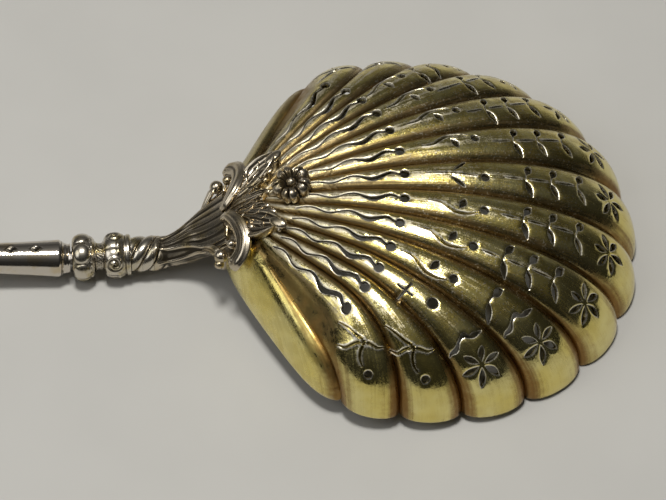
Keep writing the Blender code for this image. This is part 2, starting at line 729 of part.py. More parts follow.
def build_socket_cutter():
    """The hole in the neck that takes the tang."""
    x = np.linspace(NECK_X - 1.0, NECK_X + 5.0, 6)
    path = np.stack([x, np.zeros_like(x), axis_height(x)], -1)
    return add_object("tang_socket", swept(path, np.full(len(x), BORE_RADIUS), (0.0, 1.0, 0.0)), None)


def build_bowl_cutter():
    """The bowl's crests as a solid block, for seating what lies on it."""
    turn = np.linspace(-np.pi, np.pi, 72, endpoint=False)
    share = np.sin(np.linspace(0.05, 0.5, 10) * np.pi)
    reach = share[:, None] * outline_reach(turn)[None, :]
    x, y = CROWN_X + reach * np.cos(turn), reach * np.sin(turn)
    points, _ = raised(x, y, ORNAMENT_GAP, fluted=False)
    foot = points[-1] * [1.0, 1.0, 0.0] - [0.0, 0.0, 3.0]
    bm = bmesh.new()
    verts = add_grid(bm, np.concatenate([points, foot[None]]))
    bm.faces.new(verts[0])
    bm.faces.new(verts[-1])
    return add_object("bowl_block", bm, None)


LARGE_SCROLL = (
    (26.1, 1.5, 14.2),
    (27.7, 1.9, 15.4),
    (29.2, 3.9, 15.8),
    (30.0, 6.4, 15.3),
    (29.6, 8.6, 14.4),
    (28.3, 9.8, 13.1),
    (26.9, 8.9, 12.7),
    (26.7, 7.5, 13.2),
)
LARGE_SCROLL_RADII = (0.7, 0.95, 1.1, 1.1, 1.05, 0.95, 0.8, 0.8)
SMALL_SCROLL = ((22.9, 3.6, 9.2), (24.1, 5.2, 10.6), (25.0, 6.4, 11.2), (25.6, 7.3, 11.0))
SMALL_SCROLL_RADII = (0.5, 0.8, 1.0, 1.15)
STEPS_PER_POINT = 2


def scroll_tube(points, radii, side, margin=0.0):
    """A scroll on one side of the middle plane, +1 for the far side, fattened by a margin for cutting."""
    steps = STEPS_PER_POINT * len(points)
    path = smooth_path(points, steps) * [1.0, side, 1.0]
    radius = np.interp(np.linspace(0, 1, steps), np.linspace(0, 1, len(radii)), radii) + margin
    return swept(path, radius, (-0.5, 0.3 * side, 0.8))


LEAVES = (
    ("leaf_centre", (29.8, 0.0), (34.1, 0.0), 1.1),
    ("leaf_near", (27.3, -0.5), (36.2, -6.4), 1.9),
    ("leaf_far", (27.3, 0.5), (36.2, 6.4), 1.9),
)
LEAF_ROWS = 9
LEAF_COLUMNS = 7
LEAF_EDGE = 0.35
LEAF_RISE = 1.0


def build_leaf(name, root, tip, half_width, finish):
    """A lobed leaf laid on the crests, thicker along its midrib and at its curled tip."""
    along = np.linspace(0.0, 1.0, LEAF_ROWS)[:, None]
    across = np.linspace(-1.0, 1.0, LEAF_COLUMNS)[None, :]
    belly = 0.15 + 0.85 * np.sin(np.pi * along**1.3) ** 0.9
    half = half_width * belly * (1.0 + 0.15 * np.cos(5 * np.pi * along))
    course = np.array(tip) - np.array(root)
    square = np.array([-course[1], course[0]]) / np.hypot(*course)
    plan = np.array(root) + along[..., None] * course + (half * across)[..., None] * square
    thick = LEAF_EDGE + LEAF_RISE * np.sqrt(1.0 - 0.95 * across**2) * (0.55 + 0.45 * along**3)
    top, _ = raised(plan[..., 0], plan[..., 1], ORNAMENT_GAP + thick, fluted=False)
    foot, _ = raised(plan[..., 0], plan[..., 1], ORNAMENT_GAP, fluted=False)
    bm = bmesh.new()
    add_grid(bm, np.concatenate([top, foot[:, ::-1]], axis=1))
    for row in (0, -1):
        edge = np.concatenate([top[row], foot[row][::-1]])
        bmesh.ops.contextual_create(bm, geom=[bm.verts.new(p) for p in edge])
    bmesh.ops.remove_doubles(bm, verts=bm.verts, dist=1e-4)
    return add_object(name, bm, finish)


FLOWER_X = TIP_X - 56.8
FLOWER_RADIUS = 3.35
FLOWER_HEAD_PETALS = 5
FLOWER_TURN = math.radians(115.0)
PETAL_COLUMNS = 8
PETAL_SHARES = (0.24, 0.35, 0.5, 0.65, 0.8, 0.92, 1.0)
PETAL_MIDDLE = 0.67
PETAL_HALF_LENGTH = 0.41
PETAL_ROUNDNESS = 0.6
PETAL_NOTCH = 0.16
PETAL_CREASE = 0.35
CREASE_SHARPNESS = 40
FLOWER_BASE = 0.4
FLOWER_PETAL_RISE = 1.3
FLOWER_SEAT = 0.45
BEAD_RADIUS = 0.8


def stand_on_dome(made, lift):
    """Stands a piece that was modelled along +Z on the dome at the flower's place."""
    point, normal = raised(FLOWER_X, 0.0, lift, fluted=False)
    made.location = Vector(point) * MM
    made.rotation_euler = Vector(normal).to_track_quat("Z", "X").to_euler()
    return made


def build_flower(petal_finish, bead_finish):
    """Five round petals, each parted by a crease, and the bead that stands in their middle."""
    share = np.array(PETAL_SHARES)[:, None]
    spread = np.linspace(0.0, 2 * np.pi, PETAL_COLUMNS * FLOWER_HEAD_PETALS, endpoint=False)[None, :]
    turn = FLOWER_TURN + spread
    across = np.abs(np.cos(FLOWER_HEAD_PETALS / 2 * spread))
    petal = across**PETAL_ROUNDNESS - PETAL_CREASE * across**CREASE_SHARPNESS
    radius = FLOWER_RADIUS * share * (1.0 - PETAL_NOTCH * share * (1.0 - petal))
    dome = np.sqrt(np.clip(1.0 - ((share - PETAL_MIDDLE) / PETAL_HALF_LENGTH) ** 2, 0.0, None))
    height = FLOWER_BASE + FLOWER_PETAL_RISE * dome * petal
    top = np.stack([radius * np.cos(turn), radius * np.sin(turn), height], -1)
    foot = top[-1] * [0.94, 0.94, 0.0]
    bm = bmesh.new()
    verts = add_grid(bm, np.concatenate([top, foot[None]]))
    bm.faces.new(verts[0])
    bm.faces.new(verts[-1])
    stand_on_dome(add_object("flower_petals", bm, petal_finish), FLOWER_SEAT)
    bm = bmesh.new()
    bmesh.ops.create_uvsphere(bm, u_segments=14, v_segments=8, radius=BEAD_RADIUS)
    seat = FLOWER_SEAT + FLOWER_BASE + BEAD_RADIUS + SEAT_GAP
    return stand_on_dome(add_object("flower_bead", bm, bead_finish), seat)


def build_mount(finish):
    """The neck and everything laid on the bowl's back, each seated on what is under it."""
    block = build_bowl_cutter()
    neck = build_neck(finish)
    cut(neck, block)
    cut(neck, build_socket_cutter())
    leaves = [build_leaf(*leaf, finish) for leaf in LEAVES]
    large = ("large_scroll", LARGE_SCROLL, LARGE_SCROLL_RADII)
    small = ("small_scroll", SMALL_SCROLL, SMALL_SCROLL_RADII)
    for name, points, radii in (large, small):
        for side, word in ((-1.0, "near"), (1.0, "far")):
            scroll = add_object(f"{name}_{word}", scroll_tube(points, radii, side), finish)
            cut(scroll, block)
            room = add_object(f"{name}_{word}_room", scroll_tube(points, radii, side, ORNAMENT_GAP), None)
            for under in (neck, *leaves):
                cut(under, room)
    return build_flower(finish, finish)


def clear_scene():
    for found in list(bpy.data.objects):
        bpy.data.objects.remove(found)


def main():
    clear_scene()
    gilt = material("gilt_silver", (0.66, 0.56, 0.25), 0.25, 1.0)
    silver = material("antique_silver", (0.62, 0.59, 0.53), 0.3, 1.0)
    iron = material("tang_iron", (0.32, 0.31, 0.3), 0.5, 1.0)
    pitch = material("pitch", (0.05, 0.03, 0.02), 0.6, 0.0)
    build_bowl(gilt)
    build_mount(silver)
    build_twist_ring("twist_ring_two", RING_TWO_X, silver)
    build_twist_ring("twist_ring_one", RING_ONE_X, silver)
    build_rosette_knop(silver)
    build_waist_spool(silver)
    build_melon_knop(silver)
    build_tube_collar(silver)
    build_handle_tube(silver)
    build_end_collar(silver)
    build_end_finial(silver)
    build_tang(iron)
    build_pitch_filler(pitch)


main()
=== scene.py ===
"""Looks of the sugar sifter spoon: a gilt, pierced shell bowl on an antique silver mount and handle.

Lengths are in millimetres and angles in degrees unless a name says otherwise. The frame is the part's:
+X runs from the finial to the bowl's tip, Y = 0 is the middle plane and Z = 0 the table.
"""

import logging
import math
from dataclasses import dataclass, field
from enum import Enum

import bpy
import numpy as np
from mathutils import Matrix, Vector
from mathutils.geometry import delaunay_2d_cdt


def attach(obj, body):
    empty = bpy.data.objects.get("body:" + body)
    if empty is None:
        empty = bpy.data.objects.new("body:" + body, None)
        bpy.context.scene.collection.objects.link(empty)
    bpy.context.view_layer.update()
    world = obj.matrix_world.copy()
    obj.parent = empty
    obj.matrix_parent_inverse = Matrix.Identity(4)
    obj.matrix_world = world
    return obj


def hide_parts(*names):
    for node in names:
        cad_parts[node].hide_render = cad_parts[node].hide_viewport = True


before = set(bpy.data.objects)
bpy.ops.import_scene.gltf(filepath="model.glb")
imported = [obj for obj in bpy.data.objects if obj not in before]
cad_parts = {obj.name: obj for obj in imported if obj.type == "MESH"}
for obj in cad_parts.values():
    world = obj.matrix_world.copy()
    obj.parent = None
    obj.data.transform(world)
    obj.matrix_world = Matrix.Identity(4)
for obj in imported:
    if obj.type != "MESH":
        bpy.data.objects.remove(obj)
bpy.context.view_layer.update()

MM = 0.001
TINY = 1e-9
LOG = logging.getLogger("sifter")
Array = np.ndarray
Socket = bpy.types.NodeSocket


class Slot(Enum):
    """The material slots."""

    GILT = "gilt"
    SILVER = "silver"
    IRON = "iron"
    PITCH = "pitch"


class Mark(Enum):
    """Names of the float attributes that the finishes read."""

    VALLEY = "valley"
    RIMWARD = "rimward"
    REACH = "reach"
    TURN = "turn"
    # cut marks dirt in the engraving, and painted shade on the openings' inner edges.
    CUT = "cut"
    EDGE = "edge"
    # recess drives the tarnish and painted shade in the silver finishes.
    RECESS = "recess"


def smooth_step(low: float, high: float, value: Array) -> Array:
    """Rises smoothly from 0 at low to 1 at high.

    Args:
        low: Where the step starts.
        high: Where the step ends.
        value: Numbers to read it at.

    Returns:
        Numbers from 0 to 1 by the cubic 3t^2 - 2t^3.
    """
    t = np.clip((np.asarray(value, float) - low) / (high - low), 0.0, 1.0)
    return t * t * (3.0 - 2.0 * t)


def hump(value: Array, width: float) -> Array:
    """A bell of height 1 about 0, e^-(value / width)^2."""
    return np.exp(-((np.asarray(value, float) / width) ** 2))


def arch(value: Array, power: float = 2.0) -> Array:
    """A round arch over -1 to 1, (1 - |value|^power)^(1/power), and 0 outside."""
    return np.clip(1.0 - np.abs(value) ** power, 0.0, None) ** (1.0 / power)


def saw(value: Array) -> Array:
    """Whole turns folded to -1 to 1, with 0 in the middle of each turn."""
    return 2.0 * (np.asarray(value, float) % 1.0) - 1.0


def curve_through(points: tuple, steps: int) -> Array:
    """A smooth curve through given points, by cubics whose slope at a point follows its two neighbours.

    Args:
        points: The points, as tuples of any one length.
        steps: How many places to read it at, evenly spread over the points.

    Returns:
        An array of steps rows.
    """
    given = np.array(points, float)
    padded = np.concatenate([2 * given[:1] - given[1:2], given, 2 * given[-1:] - given[-2:-1]])
    at = np.linspace(0.0, len(given) - 1 - TINY, steps)
    index, t = at.astype(int), (at % 1.0)[:, None]
    p0, p1, p2, p3 = (padded[index + k] for k in range(4))
    bend = (2 * p0 - 5 * p1 + 4 * p2 - p3) * t**2 + (3 * p1 - p0 - 3 * p2 + p3) * t**3
    return p1 + 0.5 * ((p2 - p0) * t + bend)


def full_turn(columns: int) -> Array:
    """Angles once round, in radians."""
    return np.linspace(0.0, 2 * np.pi, columns, endpoint=False)


def unit(vectors: Array) -> Array:
    """Vectors scaled to length 1 along their last axis."""
    return vectors / np.maximum(np.linalg.norm(vectors, axis=-1, keepdims=True), TINY)


def left_of(path: Array) -> Array:
    """Unit vectors to the left of a flat path."""
    along = np.gradient(path, axis=0)
    return unit(np.stack([-along[:, 1], along[:, 0]], -1))


def signed_volume(points: Array, faces: Array) -> float:
    """Six times the volume under faces, each cut into triangles from its first corner."""
    first, *others = np.moveaxis(points[faces], 1, 0)
    return float(sum((first * np.cross(b, c)).sum() for b, c in zip(others[:-1], others[1:])))


def recess_of(points: Array, relief: float) -> Array:
    """How far each point of a grid lies under its surroundings, which are the grid averaged over a few steps.

    Args:
        points: Rows x columns x 3, whose columns join around.
        relief: The depth in millimetres that counts as a full recess.

    Returns:
        Rows x columns of numbers, 0.5 on plain ground, towards 1 in recesses and 0 on raised parts.
    """
    reach = 3
    window = 2 * reach + 1
    blurred = points
    for _ in range(2):
        rows = np.pad(blurred, ((reach, reach), (0, 0), (0, 0)), mode="edge")
        blurred = sum(rows[k : k + len(points)] for k in range(window)) / window
        columns = np.pad(blurred, ((0, 0), (reach, reach), (0, 0)), mode="wrap")
        blurred = sum(columns[:, k : k + points.shape[1]] for k in range(window)) / window
    wide = np.pad(points, ((0, 0), (1, 1), (0, 0)), mode="wrap")
    normal = unit(np.cross(wide[:, 2:] - wide[:, :-2], np.gradient(points, axis=0)))
    lower = ((blurred - points) * normal).sum(-1)
    return np.clip(0.5 + 0.5 * lower / relief, 0.0, 1.0)


def closed_grid(points: Array, relief: float, caps: bool) -> tuple[Array, list[Array], Array]:
    """Closes a grid whose rows are rings, with its faces turned outwards.

    Args:
        points: Rows x columns x 3.
        relief: Height in millimetres over which recesses darken with tarnish and painted shade.
        caps: Whether fans close the first and last rows. Without caps the last row joins the first.

    Returns:
        Its points, its faces in blocks, and how deep each point is recessed.
    """
    rows, columns = points.shape[:2]
    here = np.arange(rows * columns).reshape(rows, columns)
    beside = np.roll(here, -1, axis=1)
    blocks = [np.stack([here[:-1], beside[:-1], beside[1:], here[1:]], -1).reshape(-1, 4)]
    placed = np.concatenate([points.reshape(-1, 3), points[[0, -1]].mean(axis=1)[: 2 * caps]])
    if caps:
        for ring, middle, turn in ((0, -2, 1), (-1, -1, -1)):
            centre = np.full(columns, len(placed) + middle)
            blocks.append(np.stack([centre, beside[ring], here[ring]][::turn], -1))
    else:
        blocks.append(np.stack([here[-1], beside[-1], beside[0], here[0]], -1))
    depth = recess_of(points, relief).ravel()
    if sum(signed_volume(placed, block) for block in blocks) <= 0.0:
        blocks = [block[:, ::-1] for block in blocks]
        depth = 1.0 - depth
    return placed, blocks, np.concatenate([depth, depth[[0, -1]][: 2 * caps]])


def dressed(
    node: str,
    points: Array,
    faces: list,
    marks: dict[Mark, Array],
    finish: bpy.types.Material,
    sharp: float,
) -> None:
    """Writes points and faces as an object in metres that stands for a CAD node.

    Args:
        node: The CAD node, which gives the object its name.
        points: N x 3, in millimetres.
        faces: Lists of point indices.
        marks: The float attributes.
        finish: The material.
        sharp: Edges that turn by more than this angle stay sharp.
    """
    mesh = bpy.data.meshes.new(node)
    mesh.from_pydata((points * MM).tolist(), [], faces)
    mesh.validate()
    for mark, values in marks.items():
        layer = mesh.attributes.new(mark.value, "FLOAT", "POINT")
        layer.data.foreach_set("value", np.ascontiguousarray(values, np.float32))
    mesh.materials.append(finish)
    mesh.shade_smooth()
    mesh.set_sharp_from_angle(angle=math.radians(sharp))
    made = bpy.data.objects.new(f"{node}_look", mesh)
    bpy.context.scene.collection.objects.link(made)
    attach(made, "root")
    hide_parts(node)
    LOG.info("%s: %d points, %d faces", node, len(points), len(faces))


@dataclass
class Silverwork:
    """A silver sub-assembly, whose pieces are closed grids in one finish."""

    finish: bpy.types.Material

    def piece(self, node: str, *grids: tuple[Array, float], caps: bool = True) -> None:
        """Writes grids as one mesh that stands for a CAD node.

        Args:
            node: The CAD node.
            grids: Each grid's points and its relief in millimetres.
            caps: Whether fans close the grids' ends.
        """
        points, faces, recess, count = [], [], [], 0
        for grid, relief in grids:
            placed, blocks, depth = closed_grid(grid, relief, caps)
            faces += [face for block in blocks for face in (block + count).tolist()]
            points.append(placed)
            recess.append(depth)
            count += len(placed)
        marks = {Mark.RECESS: np.concatenate(recess)}
        dressed(node, np.concatenate(points), faces, marks, self.finish, 60.0)


class Nodes:
    """A node tree, with one short call for each kind of node."""

    def __init__(self, tree: bpy.types.NodeTree) -> None:
        """Takes the tree that the nodes go into."""
        self.tree = tree

    def node(self, kind: str, inputs: dict, output: int | str = 0, **settings: object) -> Socket:
        """Adds a node.

        Args:
            kind: Its type name.
            inputs: Numbers, colours or sockets by input name or place.
            output: Which of its outputs is wanted.
            settings: Its own properties.

        Returns:
            The wanted output.
        """
        made = self.tree.nodes.new(kind)
        for key, value in settings.items():
            setattr(made, key, value)
        for key, value in inputs.items():
            self.put(made.inputs[key], value)
        return made.outputs[output]

    def put(self, socket: Socket, value: object) -> None:
        """Links a socket to another, or sets its number or its colour with full alpha.

        Args:
            socket: The input.
            value: A socket, a number or a colour.
        """
        if isinstance(value, Socket):
            self.tree.links.new(value, socket)
        else:
            socket.default_value = (*value, 1.0) if socket.type == "RGBA" else value

    def math(self, operation: str, *values: object) -> Socket:
        """A sum or other operation on up to three numbers."""
        return self.node("ShaderNodeMath", dict(enumerate(values)), operation=operation)

    def times(self, first: object, second: object) -> Socket:
        """The product of two numbers."""
        return self.math("MULTIPLY", first, second)

    def sum(self, *terms: tuple) -> Socket:
        """Adds up weighted numbers.

        Args:
            terms: Pairs of a number and its weight.

        Returns:
            The sum.
        """
        total = 0.0
        for value, weight in terms:
            total = self.math("MULTIPLY_ADD", value, weight, total)
        return total

    def spread(
        self, value: object, low: float, high: float, to_low: float = 0.0, to_high: float = 1.0
    ) -> Socket:
        """Maps a range of a number onto another range by a smooth step, clamped."""
        inputs = {"Value": value, "From Min": low, "From Max": high, "To Min": to_low, "To Max": to_high}
        return self.node("ShaderNodeMapRange", inputs, interpolation_type="SMOOTHSTEP")

    def mix(self, share: object, first: object, second: object) -> Socket:
        """Mixes two colours, which are inputs 6 and 7 of the node and its output 2."""
        return self.node("ShaderNodeMix", {0: share, 6: first, 7: second}, 2, data_type="RGBA")


class Shader(Nodes):
    """A material's nodes, around its Principled shader."""

    def __init__(self, name: str) -> None:
        """Makes the material.

        Args:
            name: Its name.
        """
        self.material = bpy.data.materials.new(name)
        self.material.use_nodes = True
        super().__init__(self.material.node_tree)

    def surface(self, **inputs: object) -> None:
        """Sets the Principled shader's inputs, named with underscores for spaces."""
        for key, value in inputs.items():
            self.put(self.tree.nodes["Principled BSDF"].inputs[key.replace("_", " ")], value)

    def mark(self, mark: Mark) -> Socket:
        """Reads one of the mesh's own attributes."""
        return self.node("ShaderNodeAttribute", {}, "Fac", attribute_name=mark.value)

    def noise(self, grain: float, detail: float = 3.0) -> Socket:
        """Noise on Object coordinates.

        Args:
            grain: Size of its patches in millimetres.
            detail: How many octaves it has.

        Returns:
            A number around 0.5.
        """
        place = self.node("ShaderNodeTexCoord", {}, "Object")
        place = self.node("ShaderNodeMapping", {"Vector": place, "Scale": (1.0 / (grain * MM),) * 3})
        return self.node("ShaderNodeTexNoise", {"Vector": place, "Scale": 1.0, "Detail": detail}, "Fac")

    def streaks(self, across: object, along: object, fine: float, long: float) -> Socket:
        """Noise drawn out along one of two numbers.

        Args:
            across: The number that the streaks change quickly over.
            along: The number that they run along.
            fine: Patches for each unit across.
            long: Patches for each unit along.

        Returns:
            A number around 0.5, spread over 0 to 1.
        """
        place = self.node("ShaderNodeCombineXYZ", {0: self.times(across, fine), 1: self.times(along, long)})
        grain = self.node("ShaderNodeTexNoise", {"Vector": place, "Scale": 1.0, "Detail": 3.0}, "Fac")
        return self.spread(grain, 0.35, 0.65)

    def bump(self, height: object, distance: float, strength: float) -> Socket:
        """A bumped normal, whose distance is in millimetres."""
        inputs = {"Height": height, "Distance": distance * MM, "Strength": strength}
        return self.node("ShaderNodeBump", inputs)


@dataclass(frozen=True)
class GiltFinish:
    """Greenish gilding: worn and grained on the crests by the mount, browned in the valleys by the rim."""

    gold: tuple = (0.75, 0.63, 0.2)
    pale_gold: tuple = (0.79, 0.7, 0.3)
    worn: tuple = (0.78, 0.72, 0.56)
    olive: tuple = (0.42, 0.32, 0.08)
    patina: tuple = (0.22, 0.155, 0.07)
    brown: tuple = (0.24, 0.12, 0.03)
    dirt_and_shade: tuple = (0.05, 0.035, 0.015)
    bare: tuple = (0.86, 0.82, 0.72)
    grain: float = 0.2
    roughness: float = 0.16

    def build(self) -> bpy.types.Material:
        """Builds the material in layers from the bowl's attributes and noise.

        Returns:
            The gilt material.
        """
        s = Shader("gilt")
        valley, rimward, reach = s.mark(Mark.VALLEY), s.mark(Mark.RIMWARD), s.mark(Mark.REACH)
        cut, edge, turn = s.mark(Mark.CUT), s.mark(Mark.EDGE), s.mark(Mark.TURN)
        cloud, patch, fine = s.noise(6.0, 4.0), s.noise(1.0, 4.0), s.noise(self.grain, 2.0)
        streak, hair = s.streaks(turn, reach, 9.0, 6.0), s.streaks(turn, reach, 34.0, 9.0)
        speck = s.spread(s.sum((fine, 0.6), (patch, 0.4)), 0.4, 0.62)
        # The side panels lie past lobe 6.5 on either side, and the rim's last stretch is kept clean.
        around = s.times(turn, turn)
        panel = s.spread(around, 46.5, 50.0)
        side_lobes = s.spread(around, 41.0, 43.5, 1.0, 0.4)
        rib = s.math("MAXIMUM", side_lobes, s.spread(reach, 0.2, 0.42, 1.0, 0.0))
        ribs = s.spread(rimward, 0.72, 0.92, 1.0, 0.0)
        # Gold in two tones, mottled with olive.
        colour = s.mix(s.spread(cloud, 0.35, 0.65), self.gold, self.pale_gold)
        mottle = s.sum((s.noise(2.2, 6.0), 0.7), (hair, 0.1), (fine, 0.2))
        mottle = s.spread(mottle, 0.42, 0.6, 0.0, 0.75)
        colour = s.mix(s.times(mottle, s.sum((ribs, 0.75), (1.0, 0.25))), colour, self.olive)
        # Silvery wear on the crests by the mount.
        silvery = s.sum((valley, -0.9), (reach, -1.5), (streak, 0.5), (speck, 0.4), (1.0, 0.55))
        worn = s.times(s.spread(silvery, -0.05, 0.55, 0.0, 0.95), ribs)
        colour = s.mix(worn, colour, self.worn)
        # Brown patina in the valleys, with a dark seam at their bottom.
        browned = s.sum((valley, 1.2), (reach, -1.2), (streak, 0.25), (hair, 0.2))
        patina = s.times(s.times(s.spread(browned, 0.05, 0.7, 0.0, 0.9), ribs), rib)
        colour = s.mix(patina, colour, self.patina)
        seam = s.sum((valley, 1.0), (hair, 0.12), (streak, 0.12))
        colour = s.mix(s.times(s.spread(seam, 0.6, 1.05, 0.0, 0.75), rib), colour, self.patina)
        # Pale flecks towards the rim, stains in its notches and painted shade on the far side panel.
        fleck = s.spread(s.noise(0.32, 3.0), 0.57, 0.68, 0.0, 0.8)
        colour = s.mix(s.times(s.times(fleck, s.spread(reach, 0.35, 0.5)), ribs), colour, self.worn)
        notch = s.sum((valley, 1.2), (rimward, 2.5), (streak, 0.25), (patch, 0.5))
        stain = s.spread(notch, 3.3, 4.05, 0.0, 0.85)
        colour = s.mix(stain, colour, self.brown)
        # Painted shade: the +Y side panel is darkened towards the patina colour.
        colour = s.mix(s.spread(turn, 6.4, 6.7, 0.0, 0.6), colour, self.patina)
        # Dirt in the engraving, and painted shade on the openings' inner edges that darkens their walls
        # towards the underside; bare silver on cut edges.
        colour = s.mix(s.times(cut, 0.9), colour, self.dirt_and_shade)
        bare = s.spread(s.sum((edge, 1.0), (patch, 0.4)), 0.5, 1.0, 0.0, 0.9)
        colour = s.mix(bare, colour, self.bare)
        tarnish = s.sum((worn, 0.24), (stain, 0.25), (patina, 0.2), (bare, 0.15), (mottle, 0.12))
        tarnish = s.sum((panel, 0.12), (rib, -0.2), (tarnish, 1.0), (1.0, 0.2 + self.roughness))
        rough = s.sum((rimward, -0.14), (streak, 0.06), (hair, 0.06), (speck, 0.08), (tarnish, 1.0))
        grain = s.sum((fine, 0.8), (s.noise(0.45, 2.0), 1.3), (patch, 0.9), (s.times(hair, ribs), 0.3))
        height = s.times(grain, s.sum((rimward, -0.8), (panel, 0.4), (1.0, 1.1)))
        s.surface(Base_Color=colour, Metallic=1.0, Roughness=rough, Normal=s.bump(height, 0.06, 0.5))
        return s.material


@dataclass(frozen=True)
class SilverFinish:
    """Antique silver: bright on raised parts, with dark tarnish and painted shade in the recesses."""

    name: str = "silver"
    bright: tuple = (0.62, 0.57, 0.50)
    warm: tuple = (0.58, 0.49, 0.35)
    # dark is the colour of the tarnish and painted shade in recesses; tarnish is the recess depth where they
    # begin.
    dark: tuple = (0.03, 0.024, 0.016)
    tarnish: float = 0.68
    roughness: float = 0.11

    def build(self) -> bpy.types.Material:
        """Builds the material from the recess attribute and noise.

        Returns:
            The silver material.
        """
        s = Shader(self.name)
        cloud, fine = s.noise(2.5, 3.0), s.noise(0.18, 2.0)
        colour = s.mix(s.spread(cloud, 0.45, 0.7), self.bright, self.warm)
        # Tarnish plus painted shade: the deeper a point lies under its surroundings, the darker it is
        # painted.
        recess = s.sum((s.mark(Mark.RECESS), 1.0), (cloud, 0.22), (fine, 0.12))
        dirt_and_shade = s.spread(recess, self.tarnish, self.tarnish + 0.25, 0.0, 0.95)
        colour = s.mix(dirt_and_shade, colour, self.dark)
        rough = s.sum((dirt_and_shade, 0.28), (cloud, 0.12), (fine, 0.06), (1.0, self.roughness - 0.08))
        height = s.sum((fine, 1.0), (s.noise(0.7, 2.0), 1.0))
        s.surface(Base_Color=colour, Metallic=1.0, Roughness=rough, Normal=s.bump(height, 0.03, 0.25))
        return s.material


@dataclass(frozen=True)
class HiddenFinish:
    """A mottled plain finish for the pieces inside the handle."""

    slot: Slot
    light: tuple
    dark: tuple
    metallic: float
    roughness: float

    def build(self) -> bpy.types.Material:
        """Builds the material as two tones mixed by noise.

        Returns:
            The material.
        """
        s = Shader(self.slot.value)
        colour = s.mix(s.spread(s.noise(1.5, 4.0), 0.35, 0.65), self.light, self.dark)
        s.surface(Base_Color=colour, Metallic=self.metallic, Roughness=self.roughness)
        return s.material


